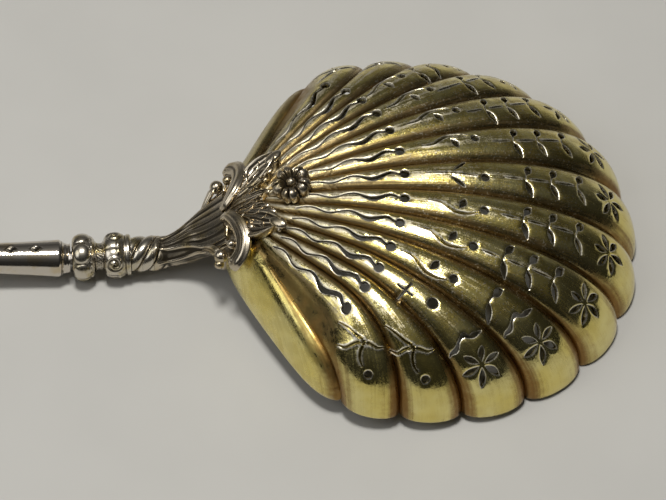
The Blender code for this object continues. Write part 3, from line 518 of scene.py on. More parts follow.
@dataclass(frozen=True)
class Dome:
    """The bowl's raised sheet as formulas over the plan.

    The outline is the soft least of a full oval about outline_x, two side chords and the hinge, measured from
    the crown. The height over it is a superellipse, and the flutes stand out along the dome's own normals.
    """

    tip_x: float = 95.0
    length: float = 69.5
    height: float = 20.4
    sheet: float = 0.9
    flute_rise: float = 2.0
    semi_length: float = 36.2
    semi_width: float = 33.2
    fullness: float = 2.12
    crown_x: float = 52.5
    hinge_half_width: float = 5.0
    shoulder: tuple = (38.1, 25.6)
    corner_sharpness: float = 16.0
    outline_rounds: int = 30
    power: float = 2.35
    power_swing: float = 0.25
    rim_rise: float = 6.0
    rim_rise_power: float = 1.6
    rim_flat_x: float = 88.0
    umbo_x: float = 27.5
    lobe_angle: float = 9.6
    outer_lobe: int = 6
    flute_reach: float = 60.0
    flute_roundness: float = 2.2
    valley_rounding: float = 0.2
    rib_bow_share: float = 1.2
    rib_bow_power: int = 4
    panel_hold_power: int = 9
    rib_rounds: int = 12

    @property
    def outline_x(self) -> float:
        """Middle of the outline's ellipse."""
        return self.tip_x - self.flute_rise - self.semi_length

    @property
    def hinge_x(self) -> float:
        """Where the bowl ends under the neck."""
        return self.tip_x - self.length

    @property
    def last_valley(self) -> float:
        """Direction of the valley beside the side panels."""
        return (self.outer_lobe + 0.5) * self.lobe_angle

    def outline_reach(self, angle: Array) -> Array:
        """Distance from the crown to the valley rim.

        Args:
            angle: Directions about the crown, in radians.

        Returns:
            The soft least of the distances to the oval, the chord and the hinge. The oval is a superellipse,
            and its distance is found by scaling a first guess until it lies on it.
        """
        c, s = np.cos(angle), np.abs(np.sin(angle))
        oval = np.full(np.shape(angle), self.semi_width)
        for _ in range(self.outline_rounds):
            beside = np.abs(self.crown_x - self.outline_x + oval * c) / self.semi_length
            size = beside**self.fullness + (oval * s / self.semi_width) ** self.fullness
            oval = oval * size ** (-1.0 / self.fullness)
        start = np.array([self.hinge_x - self.crown_x, self.hinge_half_width])
        along = np.array(self.shoulder) - np.array([self.crown_x, 0.0]) - start
        normal = np.array([-along[1], along[0]]) / np.hypot(*along)
        chord = (c * normal[0] + s * normal[1]) / (normal @ start)
        closeness = np.clip(np.stack([1.0 / oval, chord, c / start[0]]), 0.0, None)
        return (closeness**self.corner_sharpness).sum(axis=0) ** (-1.0 / self.corner_sharpness)

    def rim_share(self, x: Array, y: Array) -> Array:
        """0 at the crown, 1 on the valley rim."""
        return np.hypot(x - self.crown_x, y) / self.outline_reach(np.arctan2(y, x - self.crown_x))

    def fall(self, x: Array, y: Array) -> Array:
        """The superellipse's power: rounder towards the tip, squarer towards the hinge."""
        away = np.maximum(np.hypot(x - self.crown_x, y), 1e-6)
        return self.power - self.power_swing * (x - self.crown_x) / away

    def rim_height(self, x: Array) -> Array:
        """Height of the rim: flat at the front, lifting towards the hinge by a power of the distance."""
        share = np.clip((self.rim_flat_x - x) / (self.rim_flat_x - self.hinge_x), 0.0, 1.0)
        return self.rim_rise * share**self.rim_rise_power

    def rib_bow(self, x: Array, y: Array) -> Array:
        """How far the ribs bow towards the middle: most on the outer lobes, not at all on the rim.

        Args:
            x: Plan places along the spoon.
            y: Plan places across it.

        Returns:
            The factor on a lobe's place: 1 plus the share inside the rim times powers of the direction.
        """
        turn = np.minimum(np.abs(np.degrees(np.arctan2(y, x - self.umbo_x))) / self.last_valley, 1.0)
        inside = np.clip(1.0 - self.rim_share(x, y), 0.0, 1.0)
        hold = 1.0 - turn**self.panel_hold_power
        return 1.0 + self.rib_bow_share * inside * turn**self.rib_bow_power * hold

    def lobe_place(self, x: Array, y: Array) -> Array:
        """Lobes counted from the middle one to +Y along the bowed ribs, whole on crests."""
        return np.degrees(np.arctan2(y, x - self.umbo_x)) / self.lobe_angle * self.rib_bow(x, y)

    def across_lobe(self, x: Array, y: Array) -> Array:
        """Place across a lobe: 0 on its crest and on the panels, 0.5 in a valley."""
        lobe = np.abs(self.lobe_place(x, y))
        return np.where(lobe > self.outer_lobe + 1, 0.0, np.abs(lobe - np.round(lobe)))

    def crest(self, x: Array, y: Array) -> Array:
        """How far the crests stand out from the valleys: a sine of the reach that levels off near the rim."""
        share = np.minimum(np.hypot(x - self.umbo_x, y) / self.flute_reach, 1.0)
        return self.flute_rise * np.sin(np.pi / 2 * share)

    def flute(self, x: Array, y: Array) -> Array:
        """How far the flutes stand out: full arcs between narrow, slightly rounded valleys.

        Args:
            x: Plan places along the spoon.
            y: Plan places across it.

        Returns:
            Distances from the plain dome.
        """
        rounding = self.valley_rounding
        arc = np.hypot(arch(2.0 * self.across_lobe(x, y), self.flute_roundness), rounding) - rounding
        return self.crest(x, y) * arc / (np.hypot(1.0, rounding) - rounding)

    def raised(self, x: Array, y: Array, lift: Array = 0.0, fluted: bool = True) -> tuple[Array, Array]:
        """Raises plan points onto the sheet.

        Args:
            x: Plan places along the spoon.
            y: Plan places across it.
            lift: Extra distance along the dome's normals.
            fluted: Whether to follow the flutes, or to pass over their crests.

        Returns:
            The raised points and the plain dome's outward normals there.
        """
        x, y = np.asarray(x, float), np.asarray(y, float)
        share = np.minimum(self.rim_share(x, y), 1.0)
        power = self.fall(x, y)
        up = (1.0 - share**power) ** (1.0 / power)
        foot = self.rim_height(x)
        step = 0.02
        slope_x = (self.rim_share(x + step, y) - self.rim_share(x - step, y)) / (2 * step)
        slope_y = (self.rim_share(x, y + step) - self.rim_share(x, y - step)) / (2 * step)
        side = share ** (power - 1.0)
        steep = up ** (power - 1.0) / (self.height - foot)
        normal = unit(np.stack([side * slope_x, side * slope_y, steep], -1))
        stand = self.flute(x, y) if fluted else self.crest(x, y)
        base = np.stack([x, y, foot + (self.height - foot) * up], -1)
        return base + normal * np.asarray(stand + lift)[..., None], normal

    def flat_pattern(self, x: Array, y: Array) -> Array:
        """The plan stretched towards the rim by arcsin(share^(power/2)) / share, like the sheet laid flat.

        Args:
            x: Plan places along the spoon.
            y: Plan places across it.

        Returns:
            Points, with x and y last.
        """
        share = np.minimum(self.rim_share(x, y), 1.0)
        stretch = np.arcsin(share ** (self.fall(x, y) / 2)) / np.maximum(share, 1e-6)
        return np.stack([(x - self.crown_x) * stretch, y * stretch], -1)

    def from_flat(self, flat: Array) -> Array:
        """Plan points of the flat pattern's points: share = sin(distance / outline reach)^(2 / power).

        Args:
            flat: Points of the flat pattern.

        Returns:
            Plan points.
        """
        angle = np.arctan2(flat[:, 1], flat[:, 0])
        reach = self.outline_reach(angle)
        c, s = np.cos(angle), np.sin(angle)
        turn = np.minimum(np.hypot(*flat.T) / reach, np.pi / 2)
        out = reach * np.sin(turn) ** (2.0 / (self.power - self.power_swing * c))
        return np.stack([self.crown_x + out * c, out * s], -1)

    def ray_reach(self, degrees: Array) -> Array:
        """Distance from the umbo to the valley rim along rays, by bisection.

        Args:
            degrees: Directions of the rays.

        Returns:
            One distance for each ray.
        """
        angle = np.radians(np.asarray(degrees, float))
        near, far = np.full(angle.shape, 1.0), np.full(angle.shape, self.length + 10.0)
        for _ in range(40):
            middle = (near + far) / 2
            inside = self.rim_share(self.umbo_x + middle * np.cos(angle), middle * np.sin(angle)) < 1.0
            near, far = np.where(inside, middle, near), np.where(inside, far, middle)
        return near

    def on_lobe(self, lobe: Array, reach: Array, side: Array) -> Array:
        """Plan points along the bowed ribs.

        Args:
            lobe: Whole numbers on crests, halves in valleys.
            reach: Distance from the umbo.
            side: Distance to the +Y side of the rib.

        Returns:
            Points, with x and y last.
        """
        reach = np.asarray(reach, float)
        straight = np.radians(lobe * self.lobe_angle)
        angle = straight
        for _ in range(self.rib_rounds):
            angle = straight / self.rib_bow(self.umbo_x + reach * np.cos(angle), reach * np.sin(angle))
        angle = angle + np.asarray(side) / reach
        return np.stack([self.umbo_x + reach * np.cos(angle), reach * np.sin(angle)], -1)


@dataclass
class Piercing:
    """The openings and engraved lines, drawn as outlines and lines on the lobes of a dome.

    A drawing's origin is set by its reach from the umbo. Its coordinates run along the lobe and towards +Y.
    """

    dome: Dome
    slot_start: float = 11.5
    slot_wave: float = 6.5
    slot_peak: float = 26.6
    slot_swing: tuple = (0.3, 0.55)
    slot_half_width: tuple = (0.1, 0.2)
    slot_swell: float = 0.24
    slot_swell_share: float = 0.78
    slot_swell_length: float = 0.16
    dot_reach: float = 28.4
    dot_radius: float = 0.8
    dot_opening: float = 140.0
    hole_radius: float = 0.72
    bend_share: float = 0.235
    bend: tuple = (
        (-4.8, 0.0),
        (-3.0, -0.1),
        (-1.6, -0.85),
        (-0.3, -1.45),
        (1.4, -1.5),
        (2.8, -1.1),
        (3.7, -0.6),
    )
    straight: tuple = ((-5.1, -0.15), (-1.5, -0.15), (1.2, -0.5), (3.2, -0.8))
    straight_hole_side: float = -0.85
    bend_hole: tuple = (4.0, -0.4)
    cross_share: float = 0.23
    cross_hole_share: float = 0.42
    cross_hole_side: float = 0.5
    cross_hole_size: float = 1.3
    cross_lobe: int = -4
    cross_outline: tuple = (
        (1.4, -0.45),
        (0.2, -0.45),
        (0.5, 0.9),
        (0.18, 0.9),
        (-0.14, -0.45),
        (-1.5, -0.45),
        (-1.5, -0.75),
        (-0.18, -0.75),
        (-0.5, -2.2),
        (-0.18, -2.2),
        (0.14, -0.75),
        (1.4, -0.75),
    )
    stem: tuple = ((-3.3, -0.6), (-0.6, -0.6), (4.2, -0.3), (8.3, 0.2))
    sprig_shares: tuple = (0.725, 0.787, 0.852)
    sprig_sides: tuple = (-0.5, -0.3, 0.0)
    sprig_counts: tuple = (0, 1, 3, 3, 3, 3, 3, 2, 1)
    hook_share: float = 0.855
    hook_lobes: tuple = (-4, -3, 4)
    hook: tuple = (
        (2.1, 2.9, 0.05),
        (1.4, 1.6, 0.3),
        (0.9, 0.8, 0.16),
        (0.1, 0.3, 0.3),
        (0.0, -0.7, 0.16),
        (0.25, -1.7, 0.32),
        (0.0, -2.6, 0.2),
        (0.1, -3.1, 0.05),
    )
    sprig: tuple = (
        (1.25, 2.7, 0.05),
        (0.85, 2.3, 0.42),
        (0.5, 1.5, 0.5),
        (0.2, 0.8, 0.08),
        (0.0, 0.1, 0.05),
        (0.05, -0.4, 0.06),
        (0.35, -1.1, 0.42),
        (0.75, -1.9, 0.4),
        (1.25, -2.8, 0.05),
    )
    least_half_width: float = 0.04
    flower_share: float = 0.932
    flower_lobes: int = 4
    flower_petals: int = 6
    petal: tuple = (0.55, 3.4)
    petal_width: float = 1.05
    petal_bend: float = 0.12
    side_hole_share: float = 0.953
    side_stem: tuple = (
        (-15.0, -1.7),
        (-12.5, -1.2),
        (-9.5, -0.6),
        (-7.2, 0.1),
        (-5.0, -0.7),
        (-3.0, -1.0),
        (-1.4, -0.7),
        (-0.6, -0.2),
    )
    side_hook: tuple = ((-8.0, -3.2), (-6.8, -2.5), (-7.3, -0.9), (-6.6, 0.6), (-5.3, 1.8), (-5.2, 2.7))
    fine: float = 0.2
    bold: float = 0.34
    holes: list = field(default_factory=list)
    lines: list = field(default_factory=list)

    def on_surface(self, lobe: int, reach: float, along: Array, side: Array) -> Array:
        """Plan points of a drawing in millimetres of sloping surface, set square on a lobe.

        Args:
            lobe: The lobe's number from the middle one.
            reach: Distance of the drawing's origin from the umbo.
            along: Its coordinates away from the umbo.
            side: Its coordinates towards +Y.

        Returns:
            Plan points.
        """
        step = 0.2
        lengths, sides = step * np.array([1.0, -1.0, 0.0, 0.0]), step * np.array([0.0, 0.0, 1.0, -1.0])
        ends = self.dome.on_lobe(lobe, reach + lengths, sides)
        raised, _ = self.dome.raised(ends[:, 0], ends[:, 1], fluted=False)
        ahead, beside = (raised[::2] - raised[1::2]) / (2 * step)
        stretch = np.linalg.norm(ahead)
        skew = ahead @ beside / stretch
        off = np.asarray(side) / np.sqrt(beside @ beside - skew**2)
        return self.dome.on_lobe(lobe, reach + (np.asarray(along) - skew * off) / stretch, off)

    def slot(self, lobe: int) -> Array:
        """A wavy slot along the crest, swelling in its last wave, that runs into a round hole.

        The slot's middle swings as a cosine of the reach, and its half width is a bell on a thin line.

        Args:
            lobe: The lobe's number.

        Returns:
            Plan points of its outline.
        """
        dome, radius = self.dome, self.dot_radius
        end = self.dot_reach - 0.8 * radius
        reach = np.linspace(self.slot_start, end, 64)
        share = (reach - self.slot_start) / (end - self.slot_start)
        swing = np.interp(share, (0.0, 1.0), self.slot_swing) * smooth_step(1.0, 0.9, share)
        swing = swing * np.cos(2 * np.pi * (reach - self.slot_peak) / self.slot_wave)
        half = np.interp(share, (0.0, 1.0), self.slot_half_width)
        half = half + self.slot_swell * hump(share - self.slot_swell_share, self.slot_swell_length)
        turn = np.radians(np.linspace(self.dot_opening, -self.dot_opening, 22))
        dot = dome.on_lobe(lobe, self.dot_reach + radius * np.cos(turn), radius * np.sin(turn))
        left, right = (dome.on_lobe(lobe, reach, swing + side * half) for side in (1.0, -1.0))
        return np.concatenate([left, dot, right[::-1]])

    def disc(self, lobe: int, reach: float, side: float = 0.0, size: float = 1.0) -> None:
        """Adds a round hole, its size given as a share of the usual one."""
        turn, radius = full_turn(22), size * self.hole_radius
        self.holes.append(self.on_surface(lobe, reach, radius * np.cos(turn), side + radius * np.sin(turn)))

    def leaf_shape(self, root: tuple, tip: tuple, width: float, bend: float = 0.0) -> Array:
        """A pointed leaf, whose half width is a sine to the power 0.8 and whose middle bends.

        Args:
            root: Where it starts.
            tip: Where it ends.
            width: Its greatest width.
            bend: How far its middle lies to the left.

        Returns:
            Points of its outline.
        """
        t = np.linspace(0.0, 1.0, 12)
        swell = width / 2 * np.sin(np.pi * t**1.15) ** 0.8
        share = np.concatenate([t, t[-2:0:-1]])
        swell = np.concatenate([swell, -swell[-2:0:-1]])
        course = np.array(tip) - np.array(root)
        square = np.array([-course[1], course[0]]) / np.hypot(*course)
        off = swell + bend * np.sin(np.pi * share)
        return np.array(root) + share[:, None] * course + off[:, None] * square

    def plan_hole(self, lobe: int, reach: float, outline: Array) -> None:
        """Adds an opening drawn in plan millimetres."""
        self.holes.append(self.dome.on_lobe(lobe, reach + outline[:, 0], outline[:, 1]))

    def ribbon(self, lobe: int, reach: float, shape: tuple, side: float = 0.0) -> None:
        """Adds an opening along a curve.

        Args:
            lobe: The lobe's number.
            reach: Distance of the curve's origin from the umbo.
            shape: Places along and across the lobe, and the half width there.
            side: How far the curve is moved towards +Y.
        """
        drawn = curve_through(shape, 6 * len(shape))
        path = drawn[:, :2] + [0.0, side]
        square = np.maximum(drawn[:, 2:], self.least_half_width) * left_of(path)
        self.plan_hole(lobe, reach, np.concatenate([path + square, (path - square)[::-1]]))

    def flower(self, lobe: int, reach: float) -> None:
        """Adds leaf-shaped petals about a solid middle, turned by half a petal on the outer lobes.

        Args:
            lobe: The lobe's number.
            reach: Distance of the flower's middle from the umbo.
        """
        turns = np.arange(self.flower_petals) + (0.5 if abs(lobe) > 2 else 0.0)
        for turn in 2 * np.pi * turns / self.flower_petals:
            way = np.array([math.cos(turn), math.sin(turn)])
            root, tip = (tuple(way * radius) for radius in self.petal)
            outline = self.leaf_shape(root, tip, self.petal_width, self.petal_bend)
            self.holes.append(self.on_surface(lobe, reach, *outline.T))

    def line(
        self,
        lobe: int,
        reach: float,
        points: tuple,
        half_width: float,
        mirror: float = 1.0,
        sloping: bool = False,
    ) -> None:
        """Adds an engraved line through given points.

        Args:
            lobe: The lobe's number.
            reach: Distance of the line's origin from the umbo.
            points: Places along and across the lobe.
            half_width: Half the groove's width.
            mirror: -1 to swap its sides.
            sloping: Whether the points are millimetres of sloping surface, or of the plan.
        """
        along, side = (curve_through(points, 10 * len(points)) * [1.0, mirror]).T
        if sloping:
            drawn = self.on_surface(lobe, reach, along, side)
        else:
            drawn = self.dome.on_lobe(lobe, reach + along, side)
        self.lines.append((drawn, half_width))

    def draw(self) -> None:
        """Draws every lobe's openings and lines."""
        for lobe in range(-self.dome.outer_lobe, self.dome.outer_lobe + 1):
            rim = float(self.dome.ray_reach(lobe * self.dome.lobe_angle))
            self.holes.append(self.slot(lobe))
            if abs(lobe) > self.flower_lobes:
                self.draw_side_lobe(lobe, rim)
            else:
                self.draw_middle(lobe, rim)
                self.draw_sprigs(lobe, rim)
                self.flower(lobe, self.flower_share * rim)
        self.holes = [hole if turns_left(hole) else hole[::-1] for hole in self.holes]

    def draw_side_lobe(self, lobe: int, rim: float) -> None:
        """Draws an engraved stem, a hooked line and a round hole by the rim.

        Args:
            lobe: The lobe's number.
            rim: Distance from the umbo to the rim.
        """
        inward = 1.0 if lobe < 0 else -1.0
        hole = self.side_hole_share * rim
        self.disc(lobe, hole)
        self.line(lobe, hole, self.side_stem, self.bold, inward, sloping=True)
        self.line(lobe, hole, self.side_hook, self.bold, inward, sloping=True)

    def draw_middle(self, lobe: int, rim: float) -> None:
        """Draws a bent line with a leaf and a hole.

        The middle lobe has a straight line with two leaves instead, and another lobe a cross.

        Args:
            lobe: The lobe's number.
            rim: Distance from the umbo to the rim.
        """
        inward = 1.0 if lobe <= 0 else -1.0
        bend, cross, cross_hole = (
            self.dot_reach + share * (rim - self.dot_reach)
            for share in (self.bend_share, self.cross_share, self.cross_hole_share)
        )
        hole, hole_side = bend + self.bend_hole[0], self.bend_hole[1] * inward
        if lobe == self.cross_lobe:
            self.plan_hole(lobe, cross, np.array(self.cross_outline))
            self.disc(lobe, cross_hole, self.cross_hole_side, self.cross_hole_size)
        elif lobe == 0:
            self.line(lobe, bend, self.straight, self.fine)
            self.plan_hole(lobe, bend, self.leaf_shape((-1.0, 0.4), (1.5, 2.95), 0.55, -0.2))
            self.plan_hole(lobe, bend, self.leaf_shape((-1.5, -0.7), (0.9, -2.5), 0.65))
            self.disc(lobe, hole, self.straight_hole_side)
        else:
            self.line(lobe, bend, self.bend, self.bold, inward)
            leaf = self.leaf_shape((0.1, -0.75 * inward), (0.9, 1.15 * inward), 1.1, -0.1 * inward)
            self.plan_hole(lobe, bend, leaf)
            self.disc(lobe, hole, hole_side)

    def draw_sprigs(self, lobe: int, rim: float) -> None:
        """Draws pairs of a small and a long leaf on an engraved stem, and on some lobes a hook.

        Args:
            lobe: The lobe's number.
            rim: Distance from the umbo to the rim.
        """
        count = self.sprig_counts[lobe + self.flower_lobes]
        first = len(self.sprig_shares) - count if count > 1 else 1
        for share, side in list(zip(self.sprig_shares, self.sprig_sides))[first : first + count]:
            self.ribbon(lobe, share * rim, self.sprig, side)
        if count > 1:
            self.line(lobe, self.sprig_shares[0] * rim, self.stem, self.fine)
        if lobe in self.hook_lobes:
            self.ribbon(lobe, self.hook_share * rim, self.hook)


def turns_left(outline: Array) -> bool:
    """Whether a closed outline runs anticlockwise."""
    following = np.roll(outline, -1, axis=0)
    return bool((outline[:, 0] * following[:, 1] - following[:, 0] * outline[:, 1]).sum() > 0)


def widened(outline: Array, width: float) -> Array:
    """A closed anticlockwise outline moved outwards along its own normals."""
    along = np.roll(outline, -1, axis=0) - np.roll(outline, 1, axis=0)
    return outline + width * unit(np.stack([along[:, 1], -along[:, 0]], -1))


def inside_outline(points: Array, outline: Array) -> Array:
    """Finds which points lie inside a closed outline, by counting crossings.

    Args:
        points: N x 2.
        outline: Its corners in order.

    Returns:
        N truth values.
    """
    first, second = outline, np.roll(outline, -1, axis=0)
    x, y = points[:, :1], points[:, 1:]
    spans = (first[:, 1] > y) != (second[:, 1] > y)
    rise = np.where(second[:, 1] == first[:, 1], TINY, second[:, 1] - first[:, 1])
    crossing = first[:, 0] + (y - first[:, 1]) / rise * (second[:, 0] - first[:, 0])
    return ((spans & (x < crossing)).sum(axis=1) % 2).astype(bool)


def gap_to(points: Array, others: Array) -> Array:
    """Distance of each point to the nearest of some others."""
    return np.sqrt(((points[:, None] - others[None]) ** 2).sum(-1)).min(axis=1)


@dataclass
class Layout:
    """The sheet's plan: its points, its openings, the edges that triangles follow, and the points' marks."""

    plan: Array
    outlines: list
    edges: list = field(default_factory=list)

    def __post_init__(self) -> None:
        """Starts every point on the plain sheet: not lifted, not cut and not on an edge."""
        self.lift, self.cut, self.edge = np.zeros((3, len(self.plan)))

    def add(self, points: Array, lift: float, cut: float) -> None:
        """Adds points away from the edges, with one lift and cut for all.

        Args:
            points: Plan points.
            lift: How far they stand out from the sheet.
            cut: How deep they lie in the engraving, from 0 to 1.
        """
        self.plan = np.concatenate([self.plan, points])
        self.lift, self.cut, self.edge = (
            np.append(values, np.full(len(points), value))
            for values, value in ((self.lift, lift), (self.cut, cut), (self.edge, 0.0))
        )


@dataclass
class ShellBowl:
    """The gilt shell: the dome's fluted sheet, pierced, engraved and given its thickness."""

    finish: bpy.types.Material
    dome: Dome
    columns_per_lobe: int = 20
    column_gather: float = 0.7
    rows: int = 96
    row_gather: float = 0.95
    grid_start: float = 9.5
    core_reach: float = 5.5
    panel_rays: int = 96
    panel_gather: float = 1.6
    panel_rows: int = 60
    panel_start: float = 0.3
    panel_row_gather: float = 0.8
    panel_end: float = 125.0
    hole_clearance: float = 0.2
    groove_clearance: float = 0.1
    groove_depth: float = 0.9
    groove_taper: float = 0.35
    groove_burr: float = 0.05
    least_groove: int = 5
    crossing_depth: float = 0.15
    edge_width: float = 0.16
    edge_drop: float = 0.1
    rim_drop: float = 0.12
    groove_mark: float = 0.9
    burr_mark: float = 0.8
    rim_mark: float = 0.5
    sharp: float = 35.0

    def rib_points(self) -> tuple[Array, Array]:
        """Plan points along the ribs; the columns gather towards the valleys, as a sine of the place across.

        Returns:
            Columns of points from the umbo to the rim, and a core ring under the mount.
        """
        dome, step = self.dome, np.linspace(-1.0, 1.0, self.columns_per_lobe + 1)
        across = self.column_gather * np.sin(np.pi / 2 * step) + (1.0 - self.column_gather) * step
        whole = np.arange(-dome.outer_lobe, dome.outer_lobe + 1)[:, None]
        lobe = np.append((whole + across[:-1] / 2).ravel(), dome.outer_lobe + 0.5)[:, None]
        row = np.sin(np.linspace(0.0, np.pi / 2, self.rows)) ** self.row_gather
        reach = self.grid_start + (dome.ray_reach(lobe * dome.lobe_angle) - self.grid_start) * row
        core = dome.on_lobe(lobe[:: self.columns_per_lobe // 2, 0], self.core_reach, 0.0)
        return dome.on_lobe(lobe, reach, 0.0), core

    def panel_points(self) -> tuple[Array, Array]:
        """Plan points of the +Y side panel, on rays about the umbo.

        Returns:
            Its rim as far as the hinge's middle, and its inside.
        """
        dome = self.dome
        step = np.linspace(0.0, 1.0, self.panel_rays + 1)[1:]
        turn = dome.last_valley + (180.0 - dome.last_valley) * step**self.panel_gather
        row = np.linspace(self.panel_start, 1.0, self.panel_rows) ** self.panel_row_gather
        reach = dome.ray_reach(turn)[:, None] * row
        ray = np.radians(turn)[:, None]
        points = np.stack([dome.umbo_x + reach * np.cos(ray), reach * np.sin(ray)], -1)
        return points[:, -1], points[turn < self.panel_end, :-1].reshape(-1, 2)

    def grooves(self, lines: list, holes: list) -> list:
        """Engraved lines as a middle line and two sides, cut short where they would run into an opening.

        Args:
            lines: Plan points and half widths of the lines.
            holes: Outlines of the openings.

        Returns:
            For each groove an array of three rows of points, and its depth at each place.
        """
        edges = np.concatenate(holes)
        found = []
        for line, half_width in lines:
            clear = gap_to(line, edges) > half_width + self.edge_width + self.groove_clearance
            for run in np.split(np.arange(len(line)), np.where(~clear)[0]):
                kept = line[run[clear[run]]]
                if len(kept) < self.least_groove:
                    continue
                swell = np.sin(np.linspace(self.groove_taper, np.pi - self.groove_taper, len(kept)))
                side = half_width * swell[:, None] * left_of(kept)
                depth = self.groove_depth * half_width * swell
                found.append((np.stack([kept + side, kept, kept - side]), depth))
        return found

    def clear_of(self, points: Array, rings: list, grooves: list) -> Array:
        """Finds the grid points that lie clear of the openings' edges and of the grooves.

        Args:
            points: Plan points of the grid.
            rings: Outlines of the openings' edges.
            grooves: The grooves.

        Returns:
            Truth values, one for each point.
        """
        keep = np.ones(len(points), bool)
        for count, path in enumerate([*rings, *(groove.reshape(-1, 2) for groove, _ in grooves)]):
            near = np.where(np.abs(points - path.mean(0)).max(1) < np.ptp(path, axis=0).max() + 1.0)[0]
            keep[near] &= gap_to(points[near], path) > self.hole_clearance
            if count < len(rings):
                keep[near] &= ~inside_outline(points[near], path)
        return keep

    def valley_edges(self, plan: Array, number: Array, grooves: list) -> Array:
        """Edges along the valleys, so that the triangles follow them.

        Args:
            plan: Every plan point.
            number: Columns x rows of the grid points' places in the plan, -1 where one was left out.
            grooves: The grooves, which the edges keep away from.

        Returns:
            Pairs of places in the plan.
        """
        valley = number[:: self.columns_per_lobe]
        pairs = np.stack([valley[:, :-1], valley[:, 1:]], -1).reshape(-1, 2)
        pairs = pairs[(pairs >= 0).all(axis=1)]
        cut = np.concatenate([groove.reshape(-1, 2) for groove, _ in grooves])
        return pairs[gap_to(plan[pairs].mean(axis=1), cut) > 3.0 * self.hole_clearance]

    def lay_out(self) -> Layout:
        """Lays out the plan: the rim, the grid, the openings with a ring around each, and the grooves.

        Returns:
            The layout.
        """
        pattern = Piercing(self.dome)
        pattern.draw()
        holes = pattern.holes
        rings = [widened(hole, self.edge_width) for hole in holes]
        grooves = self.grooves(pattern.lines, holes)
        grid, core = self.rib_points()
        panel_rim, panel = self.panel_points()
        mirror = np.array([1.0, -1.0])
        rim = np.concatenate([grid[:, -1], panel_rim, panel_rim[:-1][::-1] * mirror])
        ribs = grid[:, :-1].reshape(-1, 2)
        inner = np.concatenate([ribs, core, panel, panel * mirror])
        keep = self.clear_of(inner, rings, grooves)
        blocks = [rim, inner[keep], *holes, *rings, *(groove.reshape(-1, 2) for groove, _ in grooves)]
        starts = np.cumsum([0] + [len(block) for block in blocks])
        rim_at, _, *others = (np.arange(a, b) for a, b in zip(starts[:-1], starts[1:]))
        holes_at, rings_at = others[: len(holes)], others[len(holes) : 2 * len(holes)]
        layout = Layout(np.concatenate(blocks), [rim_at, *holes_at])
        place = np.where(keep, starts[1] + np.cumsum(keep) - 1, -1)[: len(ribs)].reshape(len(grid), -1)
        number = np.concatenate([place, np.arange(len(grid))[:, None]], axis=1)
        layout.edges.append(self.valley_edges(layout.plan, number, grooves))
        layout.edges += [np.stack([at, np.roll(at, -1)], -1) for at in rings_at]
        layout.lift[rim_at], layout.edge[rim_at] = -self.rim_drop, self.rim_mark
        for at in holes_at:
            layout.lift[at], layout.edge[at] = -self.edge_drop, 1.0
        for at, (_, depth) in zip(others[2 * len(holes) :], grooves):
            rows = at.reshape(3, -1)
            layout.edges.append(np.stack([rows[:, :-1], rows[:, 1:]], -1).reshape(-1, 2))
            layout.lift[rows[1]], layout.lift[rows[::2]] = -depth, self.groove_burr
            layout.cut[rows[1]], layout.edge[rows[::2]] = self.groove_mark, self.burr_mark
        return layout

    def triangulate(self, layout: Layout) -> Array:
        """Triangulates the sheet laid flat, around its openings.

        Args:
            layout: The layout, which gains the points where its edges cross.

        Returns:
            Triangles of places in the plan.
        """
        flat = self.dome.flat_pattern(*layout.plan.T)
        outlines = [outline.tolist() for outline in layout.outlines]
        edges = np.concatenate(layout.edges).tolist()
        places, _, faces, sources, _, owners = delaunay_2d_cdt(
            list(map(Vector, flat.tolist())), edges, outlines, 1, 1e-6
        )
        kept = [face for face, inside in zip(faces, owners) if inside == [0]]
        source = np.array([given[0] if given else -1 for given in sources])
        crossing = source < 0
        source[crossing] = len(layout.plan) + np.arange(crossing.sum())
        extra = np.array([tuple(place) for place, new in zip(places, crossing) if new]).reshape(-1, 2)
        layout.add(self.dome.from_flat(extra), -self.crossing_depth, self.groove_mark)
        return source[np.array(kept)]

    def build(self) -> None:
        """Raises the plan, copies it inwards along the dome's normals and closes open edges with walls."""
        dome, layout = self.dome, self.lay_out()
        used, compact = np.unique(self.triangulate(layout), return_inverse=True)
        triangles = compact.reshape(-1, 3)
        x, y = layout.plan[used].T
        outer, normal = dome.raised(x, y, layout.lift[used])
        plain, _ = dome.raised(x, y)
        inner = plain - normal * dome.sheet
        count = len(used)
        directed = triangles[:, [[0, 1], [1, 2], [2, 0]]].reshape(-1, 2)
        key = directed.min(1) * count + directed.max(1)
        _, first, times = np.unique(key, return_index=True, return_counts=True)
        start, end = directed[first[times == 1]].T
        walls = np.stack([end, start, start + count, end + count], -1)
        faces = [*triangles.tolist(), *(triangles[:, ::-1] + count).tolist(), *walls.tolist()]
        edge = layout.edge[used]
        marks = {
            Mark.VALLEY: np.tile(2.0 * dome.across_lobe(x, y), 2),
            Mark.RIMWARD: np.tile(np.minimum(dome.rim_share(x, y), 1.0), 2),
            Mark.REACH: np.tile(np.hypot(x - dome.umbo_x, y) / dome.length, 2),
            Mark.TURN: np.tile(dome.lobe_place(x, y), 2),
            # The inner copies of the openings' edges take the groove mark: painted shade inside the openings.
            Mark.CUT: np.concatenate([layout.cut[used], self.groove_mark * (edge == 1.0)]),
            Mark.EDGE: np.concatenate([edge, np.zeros(count)]),
        }
        points = np.concatenate([outer, inner])
        dressed("shell_bowl", points, faces, marks, self.finish, self.sharp)


def ring_points(x: Array, radius: Array, turn: Array, height: float) -> Array:
    """Rings about the handle's axis: rows along x, columns by turn in radians, at the axis's height."""
    along = np.broadcast_to(np.asarray(x, float).reshape(len(x), -1), radius.shape)
    return np.stack([along, radius * np.cos(turn), height + radius * np.sin(turn)], -1)


